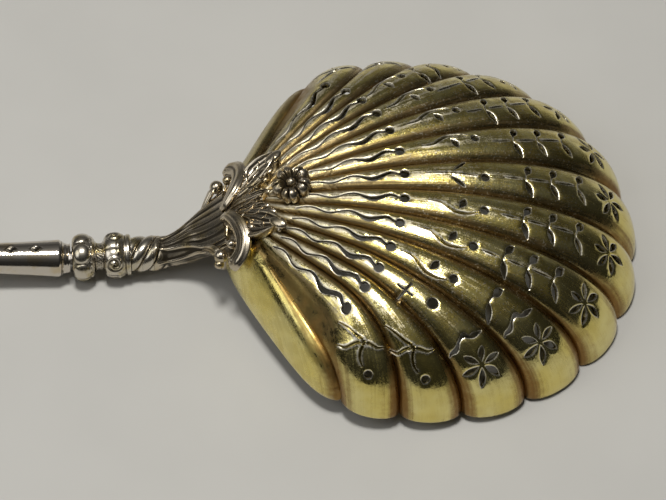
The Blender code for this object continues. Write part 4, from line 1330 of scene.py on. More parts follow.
def swept(path: Array, radii: Array, outward: Array, section: Array) -> Array:
    """A closed tube: a section carried along a path, its sides set by the path and an outward direction.

    Args:
        path: Rows x 3.
        radii: Rows x 2, half width across the band and half height outwards.
        outward: A direction, or one for each row, roughly square to the path.
        section: Radius factor of each column.

    Returns:
        Rows x columns x 3.
    """
    along = unit(np.gradient(path, axis=0))
    side = unit(np.cross(along, outward))
    over = np.cross(side, along)
    turn = full_turn(len(section))
    wide = radii[:, :1] * np.cos(turn) * section
    tall = radii[:, 1:] * np.sin(turn) * section
    return path[:, None] + wide[..., None] * side[:, None] + tall[..., None] * over[:, None]


def ball(centre: Array, radius: float, steps: int = 20) -> Array:
    """A round ball as rings about the vertical, short of its poles so that the fans close them.

    Args:
        centre: Its middle.
        radius: Its radius.
        steps: Rings from pole to pole; each has twice as many points.

    Returns:
        Rows x columns x 3.
    """
    polar = np.linspace(0.04, np.pi - 0.04, steps)[:, None]
    turn = full_turn(2 * steps)
    flat = np.sin(polar)
    shape = np.stack([flat * np.cos(turn), flat * np.sin(turn), np.cos(polar) + 0 * turn], -1)
    return np.asarray(centre) + radius * shape


class Side(Enum):
    """The two sides of the middle plane, by the sign of Y."""

    NEAR = -1.0
    FAR = 1.0

    def node(self, name: str) -> str:
        """The name of this side's CAD node."""
        return f"{name}_{self.name.lower()}"

    def mirrored(self, points: Array) -> Array:
        """Points drawn on the +Y side, brought to this side."""
        points = np.asarray(points, float)
        return points * np.array([1.0, self.value, 1.0])[: points.shape[-1]]


@dataclass(frozen=True)
class Twist:
    """The twisted strands between the knops and the neck."""

    strands: int = 4
    spacing: float = 2.2
    phase: float = -0.134

    def strand(self, x: Array, turn: Array) -> Array:
        """A round arch over each strand: whole strands are counted round the axis and along it."""
        return arch(saw(self.strands * turn / (2 * np.pi) + x / self.spacing + self.phase + 0.5), 2.2)


@dataclass
class Mount(Silverwork):
    """The silver mount: the neck, and the scrolls, leaves and flower that lie on the bowl's back."""

    dome: Dome
    twist: Twist
    axis_z: float = 4.05
    bend_x: float = 15.0
    bend: float = 0.058
    sunk: float = 0.35
    neck_stations: tuple = (
        (14.9, 2.3, 2.25),
        (15.6, 2.35, 2.3),
        (17.3, 2.65, 2.4),
        (20.5, 3.05, 2.75),
        (22.6, 3.7, 2.85),
        (24.1, 4.7, 2.4),
        (25.8, 5.3, 1.8),
        (27.4, 5.5, 1.2),
    )
    tongue_turn: float = 20.0
    tongue_parting: float = 26.0
    tongue_rise: float = 0.1
    rib_turn: float = 74.0
    rib_rise: float = 0.09
    reed_pitch: float = 17.0
    reed_rise: float = 0.05
    hollow_turn: float = 100.0
    hollow_depth: float = 0.08
    twist_fade: tuple = (17.4, 15.2)
    twist_rise: float = 0.27
    shield_x: tuple = (25.8, 31.2)
    shield_share: float = 0.74
    shield_spread: float = 1.635
    shield_half_width: float = 8.6
    shield_rounding_x: float = 28.0
    shield_rounding: float = 0.55
    shield_rise: float = 0.75
    shield_flute: float = 0.16
    large_scroll: tuple = (
        (26.2, 0.9, 13.6),
        (27.3, 1.5, 14.9),
        (28.7, 3.5, 15.6),
        (29.5, 6.0, 15.3),
        (29.3, 8.1, 14.4),
        (28.2, 9.3, 13.2),
        (27.3, 9.3, 12.3),
    )
    large_scroll_width: tuple = (0.55, 1.0, 1.45, 1.6, 1.6, 1.45, 1.15)
    volute: tuple = (
        (27.5, 6.4, 13.9),
        (26.9, 5.0, 13.0),
        (27.0, 3.4, 13.2),
        (27.1, 2.1, 13.6),
        (26.6, 0.9, 13.2),
    )
    volute_radius: float = 0.3
    eye: tuple = (27.6, 6.5, 14.1)
    eye_radius: float = 0.8
    small_scroll: tuple = ((22.9, 3.4, 9.2), (24.1, 4.9, 10.9), (25.0, 6.1, 11.8), (25.8, 6.9, 11.7))
    small_scroll_width: tuple = (0.45, 0.75, 0.85, 0.8)
    small_balls: tuple = ((25.8, 7.0, 11.7, 1.15), (25.5, 7.9, 10.7, 0.8))
    scroll_flatness: float = 0.6
    scroll_ridge: float = 0.06
    scroll_relief: float = 0.1
    ball_relief: float = 0.3
    leaf_lobes: tuple = (
        ((27.6, 0.8), (36.2, 6.5), 2.25, 1.05),
        ((29.6, 2.2), (31.6, 4.9), 1.0, 0.45),
        ((31.0, 3.5), (33.6, 6.5), 1.1, 0.5),
        ((29.0, 1.0), (32.6, 1.5), 0.85, 0.42),
        ((30.4, 1.7), (34.1, 2.5), 0.95, 0.5),
        ((32.0, 2.8), (35.0, 3.9), 1.05, 0.68),
    )
    leaf_beads: tuple = ((35.9, 7.3, 0.4), (35.9, 5.5, 0.42), (34.9, 5.0, 0.36))
    centre_lobes: tuple = (
        ((27.6, 0.0), (34.4, 0.0), 0.75, 0.4),
        ((29.6, 0.25), (33.3, 0.95), 0.45, 0.3),
        ((29.6, -0.25), (33.3, -0.95), 0.45, 0.3),
    )
    leaf_bow: float = 0.06
    leaf_rise: float = 0.9
    vein_rise: float = 0.07
    bead_lift: float = 0.8
    curl_shape: tuple = (1.6, 0.95, 0.6)
    gap: float = 0.1
    flower_x: float = 38.2
    flower_radius: float = 3.4
    flower_petals: int = 5
    flower_turn: float = 115.0
    flower_seat: float = 0.3
    petal_rise: float = 1.75
    petal_gap: float = 0.36
    petal_cleft: float = 0.1
    bead_radius: float = 0.85
    bead_seat: float = 1.1
    bead_dimple: float = 0.12

    def axis_height(self, x: Array) -> Array:
        """Height of the neck's axis: level, then rising as the square of the distance past the bend."""
        return self.axis_z + self.bend * np.maximum(np.asarray(x, float) - self.bend_x, 0.0) ** 2

    def off_bowl(self, points: Array) -> Array:
        """Lifts points that would lie inside the bowl to just under its outer face.

        Args:
            points: Points of a grid.

        Returns:
            The points, with some of them raised.
        """
        x, y = points[..., 0], points[..., 1]
        face, _ = self.dome.raised(x, y, -self.sunk)
        inside = (self.dome.rim_share(x, y) < 1.0) & (face[..., 2] > points[..., 2])
        return np.where(inside[..., None], np.stack([x, y, face[..., 2]], -1), points)

    def over_crests(self, plan: Array, rise: Array, foot: float) -> Array:
        """A low cushion on the crests, as rings of its top and then its foot.

        Args:
            plan: Rows x columns of plan points.
            rise: Its height over the gap between it and the crests.
            foot: How far its foot reaches under the crests.

        Returns:
            Rows x twice the columns x 3.
        """
        x, y = plan[..., 0], plan[..., 1]
        top, _ = self.dome.raised(x, y, self.gap + rise, fluted=False)
        under, _ = self.dome.raised(x, y, -foot, fluted=False)
        return np.concatenate([top, under[:, ::-1]], axis=1)

    def neck(self) -> None:
        """Oval sections along the rising axis, reeded on top, and the shield where they spread over the bowl.

        The section's radius is 1 plus narrow reeds over its upper side, which deepen towards the bowl, two
        tongues that part from a point near the knops, and a rib along each side above a hollow face. The
        twist runs on over its start and fades.
        """
        rows, columns = 120, 180
        x, wide, thick = curve_through(self.neck_stations, rows).T[..., None]
        lean = np.arctan(2 * self.bend * np.maximum(x - self.bend_x, 0.0))
        turn = full_turn(columns)
        share = np.linspace(0.0, 1.0, rows)[:, None]
        aside = np.degrees(np.abs((turn - np.pi / 2 + np.pi) % (2 * np.pi) - np.pi))
        part = self.tongue_turn + self.tongue_parting * smooth_step(0.12, 0.75, share)
        tongue = hump(aside - part, 7.0) * smooth_step(0.05, 0.3, share)
        rib = hump(aside - self.rib_turn + 10.0 * smooth_step(0.4, 0.8, share), 6.0)
        rib = rib * smooth_step(0.06, 0.2, share)
        reeds = arch(saw(aside / self.reed_pitch)) - 0.7
        reeds = reeds * smooth_step(part, part - 6.0, aside) * smooth_step(0.14, 0.3, share)
        hollow = hump(aside - self.hollow_turn, 20.0)
        hollow = hollow * smooth_step(0.05, 0.3, share) * smooth_step(1.0, 0.7, share)
        twisted = self.twist_rise * self.twist.strand(x, turn) * smooth_step(*self.twist_fade, x)
        radius = 1.0 + self.tongue_rise * tongue + self.rib_rise * rib + self.reed_rise * reeds
        radius = radius - self.hollow_depth * hollow + twisted
        side, up = wide * radius * np.cos(turn), thick * radius * np.sin(turn)
        points = np.stack([x - up * np.sin(lean), side, self.axis_height(x) + up * np.cos(lean)], -1)
        self.piece("neck_mount", (self.off_bowl(points), 0.075), (self.shield(), 0.16))

    def shield(self) -> Array:
        """The cast ground under the scrolls and leaves: a low cushion on the crests with curved flutes.

        Returns:
            A grid of its top and foot, whose rise is an arch both ways plus a cosine for the flutes.
        """
        rows, columns = 60, 121
        x = np.linspace(*self.shield_x, rows)[:, None]
        v = np.linspace(-1.0, 1.0, columns)
        reach = self.dome.hinge_half_width + self.shield_spread * (x - self.dome.hinge_x)
        rounded = self.shield_rounding * np.maximum(x - self.shield_rounding_x, 0.0) ** 2
        y = v * np.minimum(self.shield_share * reach, self.shield_half_width - rounded)
        s = (x - self.shield_x[0]) / np.ptp(self.shield_x)
        flutes = self.shield_flute * np.cos(2 * np.pi * (3.0 * np.abs(v) ** 0.8 - 0.5 * s))
        rise = (self.shield_rise + flutes) * arch(v, 5.0) * arch(2 * s - 1.0, 6.0)
        return self.over_crests(np.stack([x + 0 * y, y], -1), rise, 0.3)

    def scroll(self, course: tuple, widths: tuple, side: Side) -> Array:
        """A band with its broad face away from the bowl, ridged there by a cosine round its section.

        Args:
            course: Given points of its middle line on the +Y side.
            widths: Half widths at those points.
            side: Which side it lies on.

        Returns:
            Its grid.
        """
        rows, sides = 110, 64
        path = side.mirrored(curve_through(course, rows))
        width = curve_through(tuple((w,) for w in widths), rows)[:, 0]
        width = width * arch(np.linspace(-0.999, 0.999, rows), 9.0)
        _, normal = self.dome.raised(np.maximum(path[:, 0], 28.0), 0.8 * path[:, 1], fluted=False)
        turn = full_turn(sides)
        ridges = 1.0 + self.scroll_ridge * np.cos(6.0 * turn) * smooth_step(-0.2, 0.3, np.sin(turn))
        return swept(path, np.stack([width, self.scroll_flatness * width], -1), normal, ridges)

    def large(self, side: Side) -> None:
        """A large scroll, with a thin volute that curls from a ball eye in its hollow.

        Args:
            side: Which side it lies on.
        """
        rows = 60
        band = self.scroll(self.large_scroll, self.large_scroll_width, side)
        path = side.mirrored(curve_through(self.volute, rows))
        thin = self.volute_radius * arch(np.linspace(-0.99, 0.99, rows), 4.0)[:, None] * np.ones(2)
        volute = swept(path, thin, np.array([-0.6, 0.2 * side.value, 0.8]), np.ones(16))
        eye = ball(side.mirrored(self.eye), self.eye_radius)
        rolled = (band, self.scroll_relief), (volute, 0.2), (eye, self.ball_relief)
        self.piece(side.node("large_scroll"), *rolled)

    def small(self, side: Side) -> None:
        """A small scroll from the neck's side that ends in two balls.

        Args:
            side: Which side it lies on.
        """
        band = self.scroll(self.small_scroll, self.small_scroll_width, side)
        balls = [ball(side.mirrored(place), radius) for *place, radius in self.small_balls]
        tips = [(grid, self.ball_relief) for grid in balls]
        self.piece(side.node("small_scroll"), (band, self.scroll_relief), *tips)

    def lobe(self, root: Array, tip: Array, half_width: float, height: float) -> Array:
        """A leaf lobe on the crests: hollow between its raised edges and midrib, rising to its tip.

        Along s and across v the half width is a sine belly, and the height is an edge arch times a dish in v
        plus a bell for the midrib, with low veins along it.

        Args:
            root: Plan point where it starts.
            tip: Plan point where it ends.
            half_width: Its greatest half width.
            height: How far its tip lifts.

        Returns:
            Its grid.
        """
        rows, columns = 70, 41
        s = np.linspace(0.0, 1.0, rows)[:, None]
        v = np.linspace(-1.0, 1.0, columns)
        half = half_width * (0.14 + 0.86 * np.sin(np.pi * np.clip(s, 0.0, 0.97) ** 1.25) ** 0.8)
        course = tip - root
        square = np.array([-course[1], course[0]]) / np.hypot(*course)
        bow = self.leaf_bow * np.hypot(*course) * np.sin(np.pi * s) * np.sign(course[1])
        plan = root + s[..., None] * course + (half * v + bow)[..., None] * square
        veins = self.vein_rise * np.cos(5.0 * np.pi * v) * smooth_step(0.0, 0.2, s) * smooth_step(1.0, 0.7, s)
        dish = 0.35 + 0.65 * np.abs(v) ** 1.6 + 0.6 * hump(v, 0.16) * (1.0 - s)
        rise = (self.leaf_rise + 1.1 * height * smooth_step(0.4, 1.0, s)) * arch(v, 5.0) * (dish + veins)
        return self.over_crests(plan, rise * (0.5 + 0.5 * smooth_step(0.0, 0.25, s)) + 0.3, 0.2)

    def curl(self, root: Array, tip: Array, radius: float) -> Array:
        """A leaf's curled tip: a ball drawn out along the leaf and pressed towards the bowl.

        Args:
            root: Plan point where the leaf starts.
            tip: Plan point where it ends.
            radius: The ball's radius.

        Returns:
            Its grid.
        """
        way = (tip - root) / np.hypot(*(tip - root))
        lift = self.gap + 0.55 + 0.6 * radius
        centre, normal = self.dome.raised(*(tip - 0.4 * radius * way), lift, fluted=False)
        ahead = unit(np.append(way, 0.0) - normal * (way @ normal[:2]))
        turned = np.stack([ahead, np.cross(normal, ahead), normal])
        return ball(np.zeros(3), radius) * self.curl_shape @ turned + centre

    def leaf(self, node: str, lobes: tuple, beads: tuple, side: Side) -> None:
        """A leaf of several lobes, each ending in a curled, ball-like tip.

        Args:
            node: The CAD node it stands for.
            lobes: Root, tip, half width and tip radius of each lobe, as plan points on the +Y side.
            beads: Plan points and radii of beads along its edge.
            side: Which side it lies on.
        """
        grids = []
        for root, tip, half_width, radius in lobes:
            root, tip = side.mirrored((root, tip))
            grids.append((self.lobe(root, tip, half_width, radius), 0.08))
            grids.append((self.curl(root, tip, radius), self.ball_relief))
        for *place, radius in beads:
            centre, _ = self.dome.raised(*side.mirrored(place), self.gap + self.bead_lift, fluted=False)
            grids.append((ball(centre, radius, 14), self.ball_relief))
        self.piece(node, *grids)

    def on_dome(self, local: Array, lift: float) -> Array:
        """Sets points modelled about Z on the dome at the flower's place.

        Args:
            local: Points in millimetres, Z away from the bowl.
            lift: Distance of their origin from the crests.

        Returns:
            The points in the part's frame.
        """
        point, normal = self.dome.raised(self.flower_x, 0.0, lift, fluted=False)
        turn = np.array(Vector(normal).to_track_quat("Z", "X").to_matrix())
        return local @ turn.T + point

    def petals(self) -> None:
        """Round petals parted by a crease, as a height over the disc.

        A petal is an arch of the radius about its own middle times an arch across, less a bell for a crease.
        """
        rows, columns = 72, 44 * self.flower_petals
        share = np.linspace(0.02, 1.0, rows)[:, None]
        turn = full_turn(columns)
        across = saw((turn - math.radians(self.flower_turn)) / (2 * np.pi) * self.flower_petals + 0.5)
        notch = self.petal_gap * (1.0 - arch(across, 2.2)) + self.petal_cleft * hump(across, 0.16)
        radius = self.flower_radius * share * (1.0 - smooth_step(0.3, 1.0, share) * notch)
        petal = arch((share - 0.66) / 0.37, 2.2) * arch(across, 2.4) ** 0.7
        crease = 0.5 * hump(across, 0.1) + 0.12 * np.cos(9.0 * np.pi * across) * smooth_step(0.75, 0.4, share)
        height = 0.3 + self.petal_rise * petal * (1.0 - 0.75 * crease)
        top = np.stack([radius * np.cos(turn), radius * np.sin(turn), height], -1)
        foot = top[-1:] * [0.96, 0.96, 0.0] - [0.0, 0.0, 0.2]
        self.piece("flower_petals", (self.on_dome(np.concatenate([top, foot]), self.flower_seat), 0.45))

    def bead(self) -> None:
        """The bead in the flower, dimpled by a squared cosine of the angle that grows away from its poles."""
        bead = ball(np.zeros(3), self.bead_radius, 26)
        spin = np.arctan2(bead[..., 1], bead[..., 0])
        off_pole = np.clip(np.hypot(bead[..., 0], bead[..., 1]) / self.bead_radius, 0.0, 1.0)
        dimpled = bead * (1.0 - self.bead_dimple * np.cos(3 * spin) ** 2 * off_pole)[..., None]
        self.piece("flower_bead", (self.on_dome(dimpled, self.flower_seat + self.bead_seat), 0.15))

    def build(self) -> None:
        """Builds the neck and everything on the bowl's back."""
        self.neck()
        for side in Side:
            self.large(side)
            self.small(side)
            self.leaf(side.node("leaf"), self.leaf_lobes, self.leaf_beads, side)
        self.leaf("leaf_centre", self.centre_lobes, (), Side.FAR)
        self.petals()
        self.bead()


@dataclass
class Knops(Silverwork):
    """What is threaded on the tang: the melon knop, the waist, the rosette knop and two lengths of twist."""

    twist: Twist
    axis_z: float = 4.05
    bore: float = 1.4
    melon: tuple = (1.55, 5.25)
    melon_radius: float = 2.5
    melon_rise: float = 0.95
    melon_eggs: int = 6
    egg_end: float = 4.6
    egg_turn: float = -4.5
    egg_rise: float = 0.55
    waist: tuple = (5.35, 6.65)
    waist_radius: float = 2.15
    rosette: tuple = (6.75, 11.15)
    rosette_eyes: int = 4
    eye_turn: float = 16.5
    eye_x: float = 8.5
    eye_reach: float = 3.5
    eye_ridge: float = 0.14
    ridge_x: float = 9.2
    bulge_length: float = 3.7
    bulge_radius: float = 2.45
    bulge_rise: float = 0.95
    bulge_end_radius: float = 3.2
    bead_start: float = 10.38
    bead_x: float = 10.74
    bead_half_length: float = 0.42
    bead_radius: float = 2.9
    rosette_radii: tuple = (2.2, 3.85)
    ring_one: tuple = (11.25, 12.98)
    ring_two: tuple = (13.02, 14.85)
    ring_radius: float = 2.2
    strand_rise: float = 0.78

    def turned(self, node: str, x: Array, radius: Array, relief: float) -> None:
        """Writes rings of changing radius about the axis, with plain end faces down to the bore.

        Args:
            node: The CAD node it stands for.
            x: Places along the axis.
            radius: Rows x columns.
            relief: Depth of a full recess.
        """
        ends = np.full((1, radius.shape[1]), self.bore)
        x = np.concatenate([x[:1], x, x[-1:]])
        rings = np.concatenate([ends, radius, ends])
        self.piece(node, (ring_points(x, rings, full_turn(radius.shape[1]), self.axis_z), relief))

    def build_melon(self) -> None:
        """Eggs round a ball, domes over their distance from the middle, and a scalloped band beside them."""
        rows, columns = 90, 40 * self.melon_eggs
        x = np.linspace(*self.melon, rows)[:, None]
        place = (full_turn(columns) - math.radians(self.egg_turn)) / (2 * np.pi) * self.melon_eggs
        along = 2.0 * (x - self.melon[0]) / (self.egg_end - self.melon[0]) - 1.0
        far = np.hypot(along, 0.98 * saw(place + 0.5))
        round_share = arch(2.0 * (x - self.melon[0]) / np.ptp(self.melon) - 1.0, 2.4)
        egg = self.egg_rise * arch(np.clip(far, 0.0, 1.0), 2.0) + 0.08 * hump(far - 1.06, 0.06)
        scallop = 0.1 * hump(np.hypot((x - self.egg_end - 0.1) / 0.3, saw(2 * place)) - 0.6, 0.25)
        radius = self.melon_radius + self.melon_rise * round_share + egg + scallop
        self.turned("melon_knop", x[:, 0], radius, 0.2)

    def build_waist(self) -> None:
        """A narrow spool matted with small crossed waves."""
        rows, columns = 30, 120
        turn = full_turn(columns)
        t = np.linspace(-1.0, 1.0, rows)[:, None]
        matt = 0.06 * np.sin(15 * turn + 9 * t) * np.sin(11 * turn - 14 * t)
        radius = self.waist_radius + 0.4 * t**4 + matt
        self.turned("waist_spool", np.linspace(*self.waist, rows), radius, 0.05)

    def build_rosette(self) -> None:
        """Snail eyes on a round bulge, and a bead beside it.

        An eye is a low dome with a spiral ridge, a cosine of its radius plus its angle. A ridge runs between
        the eyes.
        """
        rows, columns = 130, 64 * self.rosette_eyes
        x = np.linspace(*self.rosette, rows)[:, None]
        left = np.clip(2.0 * (x - self.rosette[0]) / self.bulge_length - 1.0, -1.0, 1.0)
        place = (full_turn(columns) - math.radians(self.eye_turn)) / (2 * np.pi) * self.rosette_eyes
        across = saw(place)
        wide, high = self.eye_reach * np.pi / self.rosette_eyes * across, x - self.eye_x
        far, spin = np.hypot(wide, high), np.arctan2(wide, high)
        snail = self.eye_ridge * np.cos(2 * np.pi * far + spin) * smooth_step(1.6, 1.2, far)
        ridge = 0.2 * hump(x - self.ridge_x, 0.28) * smooth_step(0.5, 0.75, np.abs(across))
        domes = 0.3 * arch(across, 3.0) * arch(left, 2.4)
        bulge = self.bulge_radius + self.bulge_rise * arch(left, 2.6) + domes + snail + ridge
        bulge = np.maximum(bulge, self.bulge_end_radius * smooth_step(7.0, 9.6, x))
        bead = arch(np.clip((x - self.bead_x) / self.bead_half_length, -1.0, 1.0), 3.0)
        radius = np.where(x < self.bead_start, bulge, self.bead_radius + 0.5 * bead)
        self.turned("rosette_knop", x[:, 0], np.clip(radius, *self.rosette_radii), 0.2)

    def build_ring(self, node: str, ends: tuple) -> None:
        """A length of twisted strands, each a round arch.

        Args:
            node: The CAD node it stands for.
            ends: Where it starts and ends along the axis.
        """
        x = np.linspace(*ends, 44)
        strand = self.twist.strand(x[:, None], full_turn(192))
        self.turned(node, x, self.ring_radius + self.strand_rise * strand, 0.2)

    def build(self) -> None:
        """Builds the knops, waist and twist."""
        self.build_melon()
        self.build_waist()
        self.build_rosette()
        self.build_ring("twist_ring_one", self.ring_one)
        self.build_ring("twist_ring_two", self.ring_two)


@dataclass
class Handle(Silverwork):
    """The tapered tube with its husks, the collar at its mouth, and the collar and finial at its end."""

    axis_z: float = 4.05
    mouth_x: float = -0.35
    tilt: float = 5.5
    mouth_radius: float = 3.15
    far_radius: float = 2.0
    flare: float = 15.0
    length: float = 79.0
    wall: float = 0.5
    mouth_rows: tuple = (0.0, 0.12, 0.3, 0.45)
    mouth_chamfer: float = 0.25
    husk_pitch: float = 4.0
    husk_start: float = 4.2
    husk_half: tuple = (0.85, 0.7)
    husk_rise: float = 0.5
    husk_moat: float = 0.1
    collar: tuple = ((1.45, 2.55), (1.15, 2.4), (0.8, 2.5), (0.4, 2.6), (0.08, 2.9))
    collar_bore: float = 1.4
    spigot_radius: float = 2.3
    spigot_depth: float = 2.5
    end_gap: float = 0.1
    end_length: float = 2.0
    end_bore: float = 1.35
    end_radius: float = 1.95
    end_rise: float = 0.95
    total: float = 95.08
    finial: tuple = (
        (0.0, 1.7),
        (0.1, 1.7),
        (0.2, 2.5),
        (0.36, 3.1),
        (0.5, 3.0),
        (0.66, 2.2),
        (0.78, 1.3),
        (0.82, 1.0),
        (0.87, 1.35),
        (0.93, 1.4),
        (0.98, 0.8),
        (1.0, 0.05),
    )
    finial_gadroons: int = 6
    gadroon_depth: float = 0.16

    def tube_radius(self, along: Array) -> Array:
        """The tube tapers by an exponential from its mouth and then hardly at all."""
        flare = np.exp(-np.asarray(along) / self.flare)
        return self.far_radius + (self.mouth_radius - self.far_radius) * flare

    def placed(self, along: Array, radius: Array, turn: Array) -> Array:
        """Rings at distances up the tube from its mouth, tilted into the part's frame.

        Args:
            along: Distances up the tube.
            radius: Rows x columns, or one radius for each row.
            turn: Angles of the columns in radians.

        Returns:
            Rows x columns x 3.
        """
        radius = np.broadcast_to(np.reshape(radius, (len(along), -1)), (len(along), len(turn)))
        x, y, z = np.moveaxis(ring_points(-np.asarray(along, float), radius, turn, 0.0), -1, 0)
        c, s = math.cos(math.radians(self.tilt)), math.sin(math.radians(self.tilt))
        return np.stack([x * c + z * s, y, z * c - x * s], -1) + [self.mouth_x, 0.0, self.axis_z]

    def build_tube(self) -> None:
        """The tube's wall with lozenge husks along its top line.

        A husk is a lozenge pyramid, 1 - |along| / length - |across| / width, in a shallow moat.
        """
        rows, columns = 420, 96
        along = np.concatenate([self.mouth_rows, np.linspace(0.7, self.length, rows)])
        gather = np.linspace(-1.0, 1.0, columns, endpoint=False)
        turn = np.pi / 2 + np.pi * (0.45 * gather + 0.55 * gather**3)
        radius = self.tube_radius(along)
        chamfer = self.mouth_chamfer * smooth_step(0.4, 0.0, along)
        across = (turn - np.pi / 2) * radius[:, None]
        place = self.husk_pitch * saw((along - self.husk_start) / self.husk_pitch + 0.5)[:, None] / 2
        off = np.abs(place) / self.husk_half[0] + np.abs(across) / self.husk_half[1]
        husk = self.husk_rise * np.clip(1.0 - off, 0.0, 1.0) ** 0.7 - self.husk_moat * hump(off - 1.12, 0.16)
        outside = (radius - chamfer)[:, None] + husk * smooth_step(1.5, 3.0, along)[:, None]
        inside = np.broadcast_to((radius - self.wall)[[-1, 0], None], (2, columns))
        places = np.concatenate([along, along[[-1, 0]]])
        rings = self.placed(places, np.concatenate([outside, inside]), turn)
        self.piece("handle_tube", (rings, 0.16), caps=False)

    def build_collar(self) -> None:
        """A bead between two hollows before the tube's mouth, and the spigot that goes into the tube."""
        place, radius = curve_through(self.collar, 60).T
        along = np.concatenate([-place[:1], -place, [-self.collar[-1][0], self.spigot_depth]])
        radius = np.concatenate([[self.collar_bore], radius, [self.spigot_radius, self.spigot_radius]])
        self.piece("tube_collar", (self.placed(along, radius, full_turn(96)), 0.12))

    def build_end(self) -> None:
        """A rounded collar and a gadrooned bud with a ball tip at the tube's far end."""
        turn = full_turn(24 * self.finial_gadroons)
        start = self.length + self.end_gap
        t = np.linspace(-1.0, 1.0, 40)
        along = start + self.end_length * (np.concatenate([t[:1], t, t[-1:]]) + 1.0) / 2
        bead = self.end_radius + self.end_rise * arch(t, 2.4)
        radius = np.concatenate([[self.end_bore], bead, [self.end_bore]])
        self.piece("end_collar", (self.placed(along, radius, turn), 0.2))
        start += self.end_length + self.end_gap
        share, radius = curve_through(self.finial, 120).T
        along = start + (self.total - start) * share
        gather = 1.0 - arch(saw(turn / (2 * np.pi) * self.finial_gadroons), 2.0)
        depth = self.gadroon_depth * smooth_step(1.8, 2.6, radius)[:, None]
        rings = np.maximum(radius, 0.05)[:, None] * (1.0 - depth * gather)
        self.piece("end_finial", (self.placed(along, rings, turn), 0.22))

    def build(self) -> None:
        """Builds the collar, the tube and its end."""
        self.build_collar()
        self.build_tube()
        self.build_end()


@dataclass(frozen=True)
class Lamp:
    """A round soft lamp, its size in metres and its power in watts.

    Its bearing is degrees from +X, degrees of height, and distance.
    """

    name: str
    bearing: tuple
    size: float
    power: float
    colour: tuple

    def build(self, target: Vector) -> None:
        """Sets the lamp on its bearing from a target, which it faces.

        Args:
            target: The place it lights.
        """
        data = bpy.data.lights.new(self.name, "AREA")
        data.shape, data.size, data.energy, data.color = "DISK", self.size, self.power, self.colour
        around, height = (math.radians(angle) for angle in self.bearing[:2])
        level = math.cos(height)
        way = Vector((math.cos(around) * level, math.sin(around) * level, math.sin(height)))
        made = bpy.data.objects.new(self.name, data)
        made.location = (target + way * self.bearing[2]) * MM
        made.rotation_euler = way.to_track_quat("Z", "Y").to_euler()
        bpy.context.scene.collection.objects.link(made)


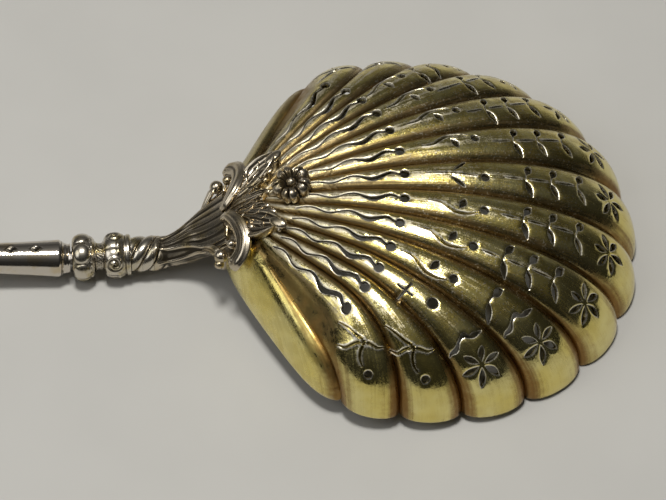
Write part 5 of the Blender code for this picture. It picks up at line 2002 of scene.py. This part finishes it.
@dataclass
class Studio:
    """A pale floor, soft light from above, a dim room around, and the camera at the photograph's angle."""

    floor_tone: tuple = (0.55, 0.54, 0.51)
    floor_half: float = 1.5
    near_tones: tuple = ((0.0, 0.02), (0.5, 0.03), (0.77, 0.08), (0.92, 0.2), (1.0, 0.3))
    far_tones: tuple = ((0.0, 0.2), (0.25, 0.16), (0.5, 0.06), (0.92, 0.2), (1.0, 0.3))
    far_range: tuple = (0.35, 0.9)
    room_tint: tuple = (1.0, 0.985, 0.95)
    lamps: tuple = (
        Lamp("overhead", (-170.0, 87.0, 600.0), 0.12, 2.45, (1.0, 0.985, 0.95)),
        Lamp("window", (-165.0, 44.0, 700.0), 0.5, 1.0, (0.98, 0.99, 1.0)),
    )
    image_width: int = 666
    sensor_width: float = 36.0
    focal_pixels: float = 2790.0
    target: tuple = (44.62, 1.56, 0.0)
    azimuth: float = 4.557
    elevation: float = 53.535
    roll: float = 0.398
    distance: float = 465.0

    def floor(self) -> None:
        """A wide pale sheet at table height, gently mottled."""
        s = Shader("floor")
        dark = tuple(0.96 * c for c in self.floor_tone)
        colour = s.mix(s.spread(s.noise(30.0, 3.0), 0.3, 0.7), self.floor_tone, dark)
        s.surface(Base_Color=colour, Roughness=0.9)
        mesh = bpy.data.meshes.new("floor")
        corners = np.array([(-1.0, -1.0, 0.0), (1.0, -1.0, 0.0), (1.0, 1.0, 0.0), (-1.0, 1.0, 0.0)])
        mesh.from_pydata((self.floor_half * corners).tolist(), [], [(0, 1, 2, 3)])
        mesh.materials.append(s.material)
        made = bpy.data.objects.new("floor", mesh)
        bpy.context.scene.collection.objects.link(made)

    def room(self) -> None:
        """A world that is dim around and soft grey overhead, with a paler wall low down on the far side."""
        world = bpy.data.worlds.new("room")
        world.use_nodes = True
        n = Nodes(world.node_tree)
        way = n.node("ShaderNodeTexCoord", {}, "Generated")
        across, height = (n.node("ShaderNodeSeparateXYZ", {0: way}, axis) for axis in "YZ")
        near, far = (self.ramp(n, tones, height) for tones in (self.near_tones, self.far_tones))
        n.put(n.tree.nodes["Background"].inputs["Color"], n.mix(n.spread(across, *self.far_range), near, far))
        bpy.context.scene.world = world

    def ramp(self, nodes: Nodes, tones: tuple, height: Socket) -> Socket:
        """Adds a ramp of the room's tint.

        Args:
            nodes: The world's nodes.
            tones: Places from 0 to 1 and the tone at each.
            height: The number that the ramp follows.

        Returns:
            The ramp's colour.
        """
        colour = nodes.node("ShaderNodeValToRGB", {"Fac": height}, "Color")
        steps = colour.node.color_ramp.elements
        for place, _ in tones[1:-1]:
            steps.new(place)
        for step, (place, tone) in zip(steps, tones):
            step.position, step.color = place, (*(tone * c for c in self.room_tint), 1.0)
        return colour

    def camera(self) -> None:
        """The camera on its bearing from the target, rolled a little, with the lens for the image's width."""
        data = bpy.data.cameras.new("camera")
        data.sensor_width = self.sensor_width
        data.lens = self.focal_pixels / self.image_width * self.sensor_width
        data.clip_start = 0.01
        turn = Matrix.Rotation(math.radians(-self.azimuth), 4, "Z")
        tilt = Matrix.Rotation(math.radians(90.0 - self.elevation), 4, "X")
        roll = Matrix.Rotation(math.radians(self.roll), 4, "Z")
        back = Matrix.Translation((0.0, 0.0, self.distance * MM))
        made = bpy.data.objects.new("camera", data)
        made.matrix_world = Matrix.Translation(Vector(self.target) * MM) @ turn @ tilt @ roll @ back
        bpy.context.scene.collection.objects.link(made)
        bpy.context.scene.camera = made

    def build(self) -> None:
        """Sets the stage."""
        self.floor()
        self.room()
        for lamp in self.lamps:
            lamp.build(Vector(self.target))
        self.camera()
        bpy.context.scene.view_settings.view_transform = "Standard"


def dress_hidden() -> None:
    """Gives the pieces inside the handle their finishes."""
    hidden = {
        "tang_rod": HiddenFinish(Slot.IRON, (0.34, 0.33, 0.32), (0.2, 0.18, 0.16), 1.0, 0.45),
        "pitch_filler": HiddenFinish(Slot.PITCH, (0.06, 0.04, 0.025), (0.03, 0.02, 0.012), 0.0, 0.55),
    }
    for node, finish in hidden.items():
        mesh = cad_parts[node].data
        mesh.materials.clear()
        mesh.materials.append(finish.build())
        LOG.info("%s: CAD node dressed", node)


def main() -> None:
    """Builds the spoon's sub-assemblies in order, then the stage."""
    logging.basicConfig(level=logging.INFO, format="%(message)s")
    # Each silver finish paints tarnish and shade into its recesses from the depth given as tarnish.
    cast = SilverFinish("cast_silver", (0.55, 0.48, 0.37), (0.48, 0.39, 0.23), tarnish=0.53, roughness=0.24)
    knop = SilverFinish("knop_silver", (0.6, 0.55, 0.46), (0.5, 0.42, 0.23), tarnish=0.6, roughness=0.23)
    dome, twist = Dome(), Twist()
    ShellBowl(GiltFinish().build(), dome).build()
    Mount(cast.build(), dome, twist).build()
    Knops(knop.build(), twist).build()
    Handle(SilverFinish().build()).build()
    dress_hidden()
    Studio().build()


if __name__ == "__main__":
    main()
